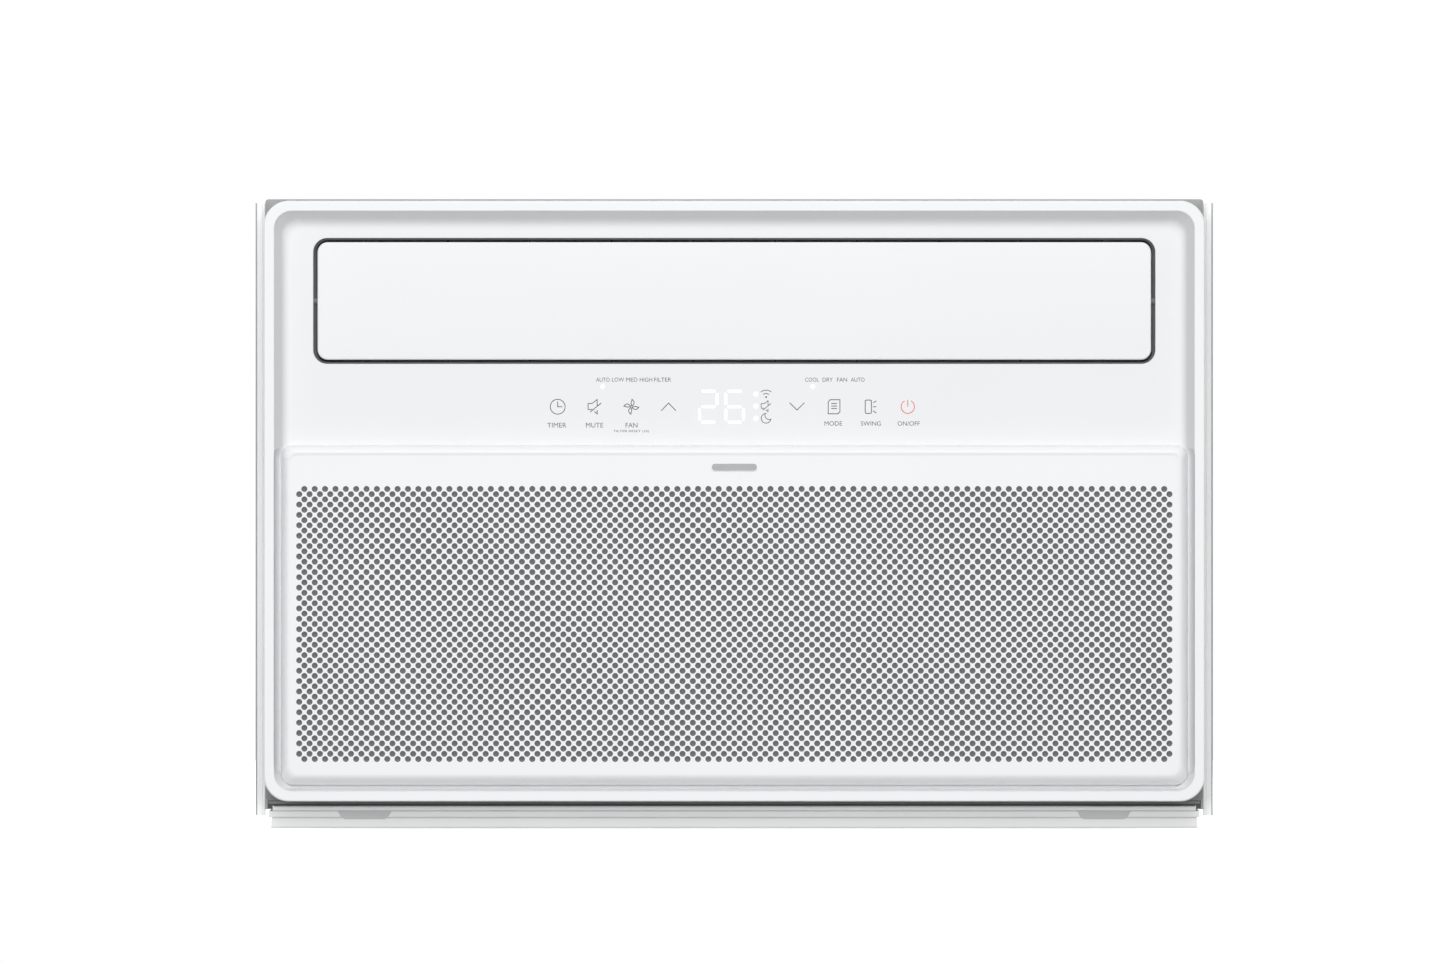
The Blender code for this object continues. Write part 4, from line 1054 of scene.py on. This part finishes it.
def finish_nodes():
    """Every CAD node gets the finish of its slot in the record."""
    finishes = {"white_front": WHITE, "channel_white": CHANNEL_WHITE, "pan_pale": PAN_PAINT,
                "cabinet_grey": CABINET_PAINT, "dark_plastic": DARK, "grey_plastic": GREY,
                "duct_foam": FOAM, "filter_net": NET, "badge_metal": BADGE, "coil_fins": FINS,
                "copper": COPPER, "steel": STEEL, "black_steel": BLACK, "rubber": RUBBER,
                "circuit_board": BOARD}
    for subpart in frame["record"]["subparts"]:
        mesh = NODES[subpart["node"]].data
        mesh.materials.clear()
        mesh.materials.append(finishes[subpart["material_slot"]])
        smooth_shade(mesh, 30)


# -------------------------------- stage, light and camera

def make_stage():
    """A pale floor that fades into a white surrounding, with soft light mostly from the front."""
    bpy.context.scene.view_settings.view_transform = "Standard"
    half = 6.0
    bm = bmesh.new()
    bm.faces.new([bm.verts.new((x, y, -0.2 * MM))
                  for x, y in ((-half, -half), (half, -half), (half, half), (-half, half))])
    material, tree, shader = shader_tree("studio_floor")
    tone = spread(tree, noise(tree, 3.0), 0.0, 1.0)
    tree.links.new(mix(tree, tone, (0.90,) * 3, (0.93,) * 3), shader.inputs["Base Color"])
    put(shader, Roughness=0.8, Emission_Color=(1.0, 1.0, 1.0, 1.0))
    place = add(tree, "ShaderNodeTexCoord")
    away = add(tree, "ShaderNodeVectorMath", operation="LENGTH")
    tree.links.new(place.outputs["Object"], away.inputs["Vector"])
    tree.links.new(spread(tree, away.outputs["Value"], 0.50, 1.2, 0.55, 1.6),
                   shader.inputs["Emission Strength"])
    floor = finish_mesh("floor", bm, material, body=None)
    floor.visible_diffuse = False
    floor.visible_glossy = False

    world = bpy.data.worlds.new("studio")
    bpy.context.scene.world = world
    world.use_nodes = True
    tree = world.node_tree
    background = put(tree.nodes["Background"], Color=(1.0, 1.0, 1.0, 1.0))
    path = add(tree, "ShaderNodeLightPath")
    tree.links.new(spread(tree, path.outputs["Is Camera Ray"], 0.17, 1.0, 0.0, 1.0),
                   background.inputs["Strength"])

    for name, place, aim, size, power in (
            ("front_light", (-0.1, -5.0, 0.75), (0.0, -0.34, 0.22), (2.6, 1.3), 88.0),
            ("low_light", (-0.1, -5.0, 0.20), (0.0, -0.34, 0.15), (2.6, 0.35), 67.0),
            ("top_light", (0.0, -3.5, 4.0), (0.0, -0.3, 0.25), (3.5, 1.4), 122.0),
            ("left_light", (-3.4, 1.0, 1.7), (0.0, 0.0, 0.2), (2.0, 2.0), 60.0),
            ("right_light", (3.4, 1.0, 1.7), (0.0, 0.0, 0.2), (2.0, 2.0), 60.0),
            ("rear_light", (0.8, 3.6, 2.4), (0.0, 0.3, 0.2), (3.0, 2.0), 110.0)):
        light = bpy.data.lights.new(name, "AREA")
        light.shape = "RECTANGLE"
        light.size, light.size_y = size
        light.energy = power
        lamp = link_object(name, light)
        lamp.location = place
        lamp.rotation_euler = (Vector(aim) - Vector(place)).to_track_quat("-Z", "Y").to_euler()
        lamp.visible_camera = False


def make_camera():
    """Straight at the front from far away, as a long lens sees it."""
    distance = 26.0
    view_width = 1.0134
    data = bpy.data.cameras.new("front_camera")
    data.sensor_width = 36.0
    data.lens = data.sensor_width * distance / view_width
    data.clip_start = 1.0
    data.clip_end = 200.0
    camera = link_object("front_camera", data)
    camera.location = (-8.28 * MM, FRONT - distance, 243.35 * MM)
    camera.rotation_euler = (math.pi / 2, 0.0, 0.0)
    bpy.context.scene.camera = camera


finish_nodes()
make_bezel()
make_door()
make_dust_screen()
make_grille_surround()
perforated_sheet("grille_perforation_left", range(-HOLE_EDGE, 0))
perforated_sheet("grille_perforation_right", range(0, HOLE_EDGE + 1))
draw_icons()
draw_lamps()
write_legends()
make_outlet_lip()
round_vanes()
make_cabinet_details()
make_channels()
make_base()
make_coils()
make_stage()
make_camera()
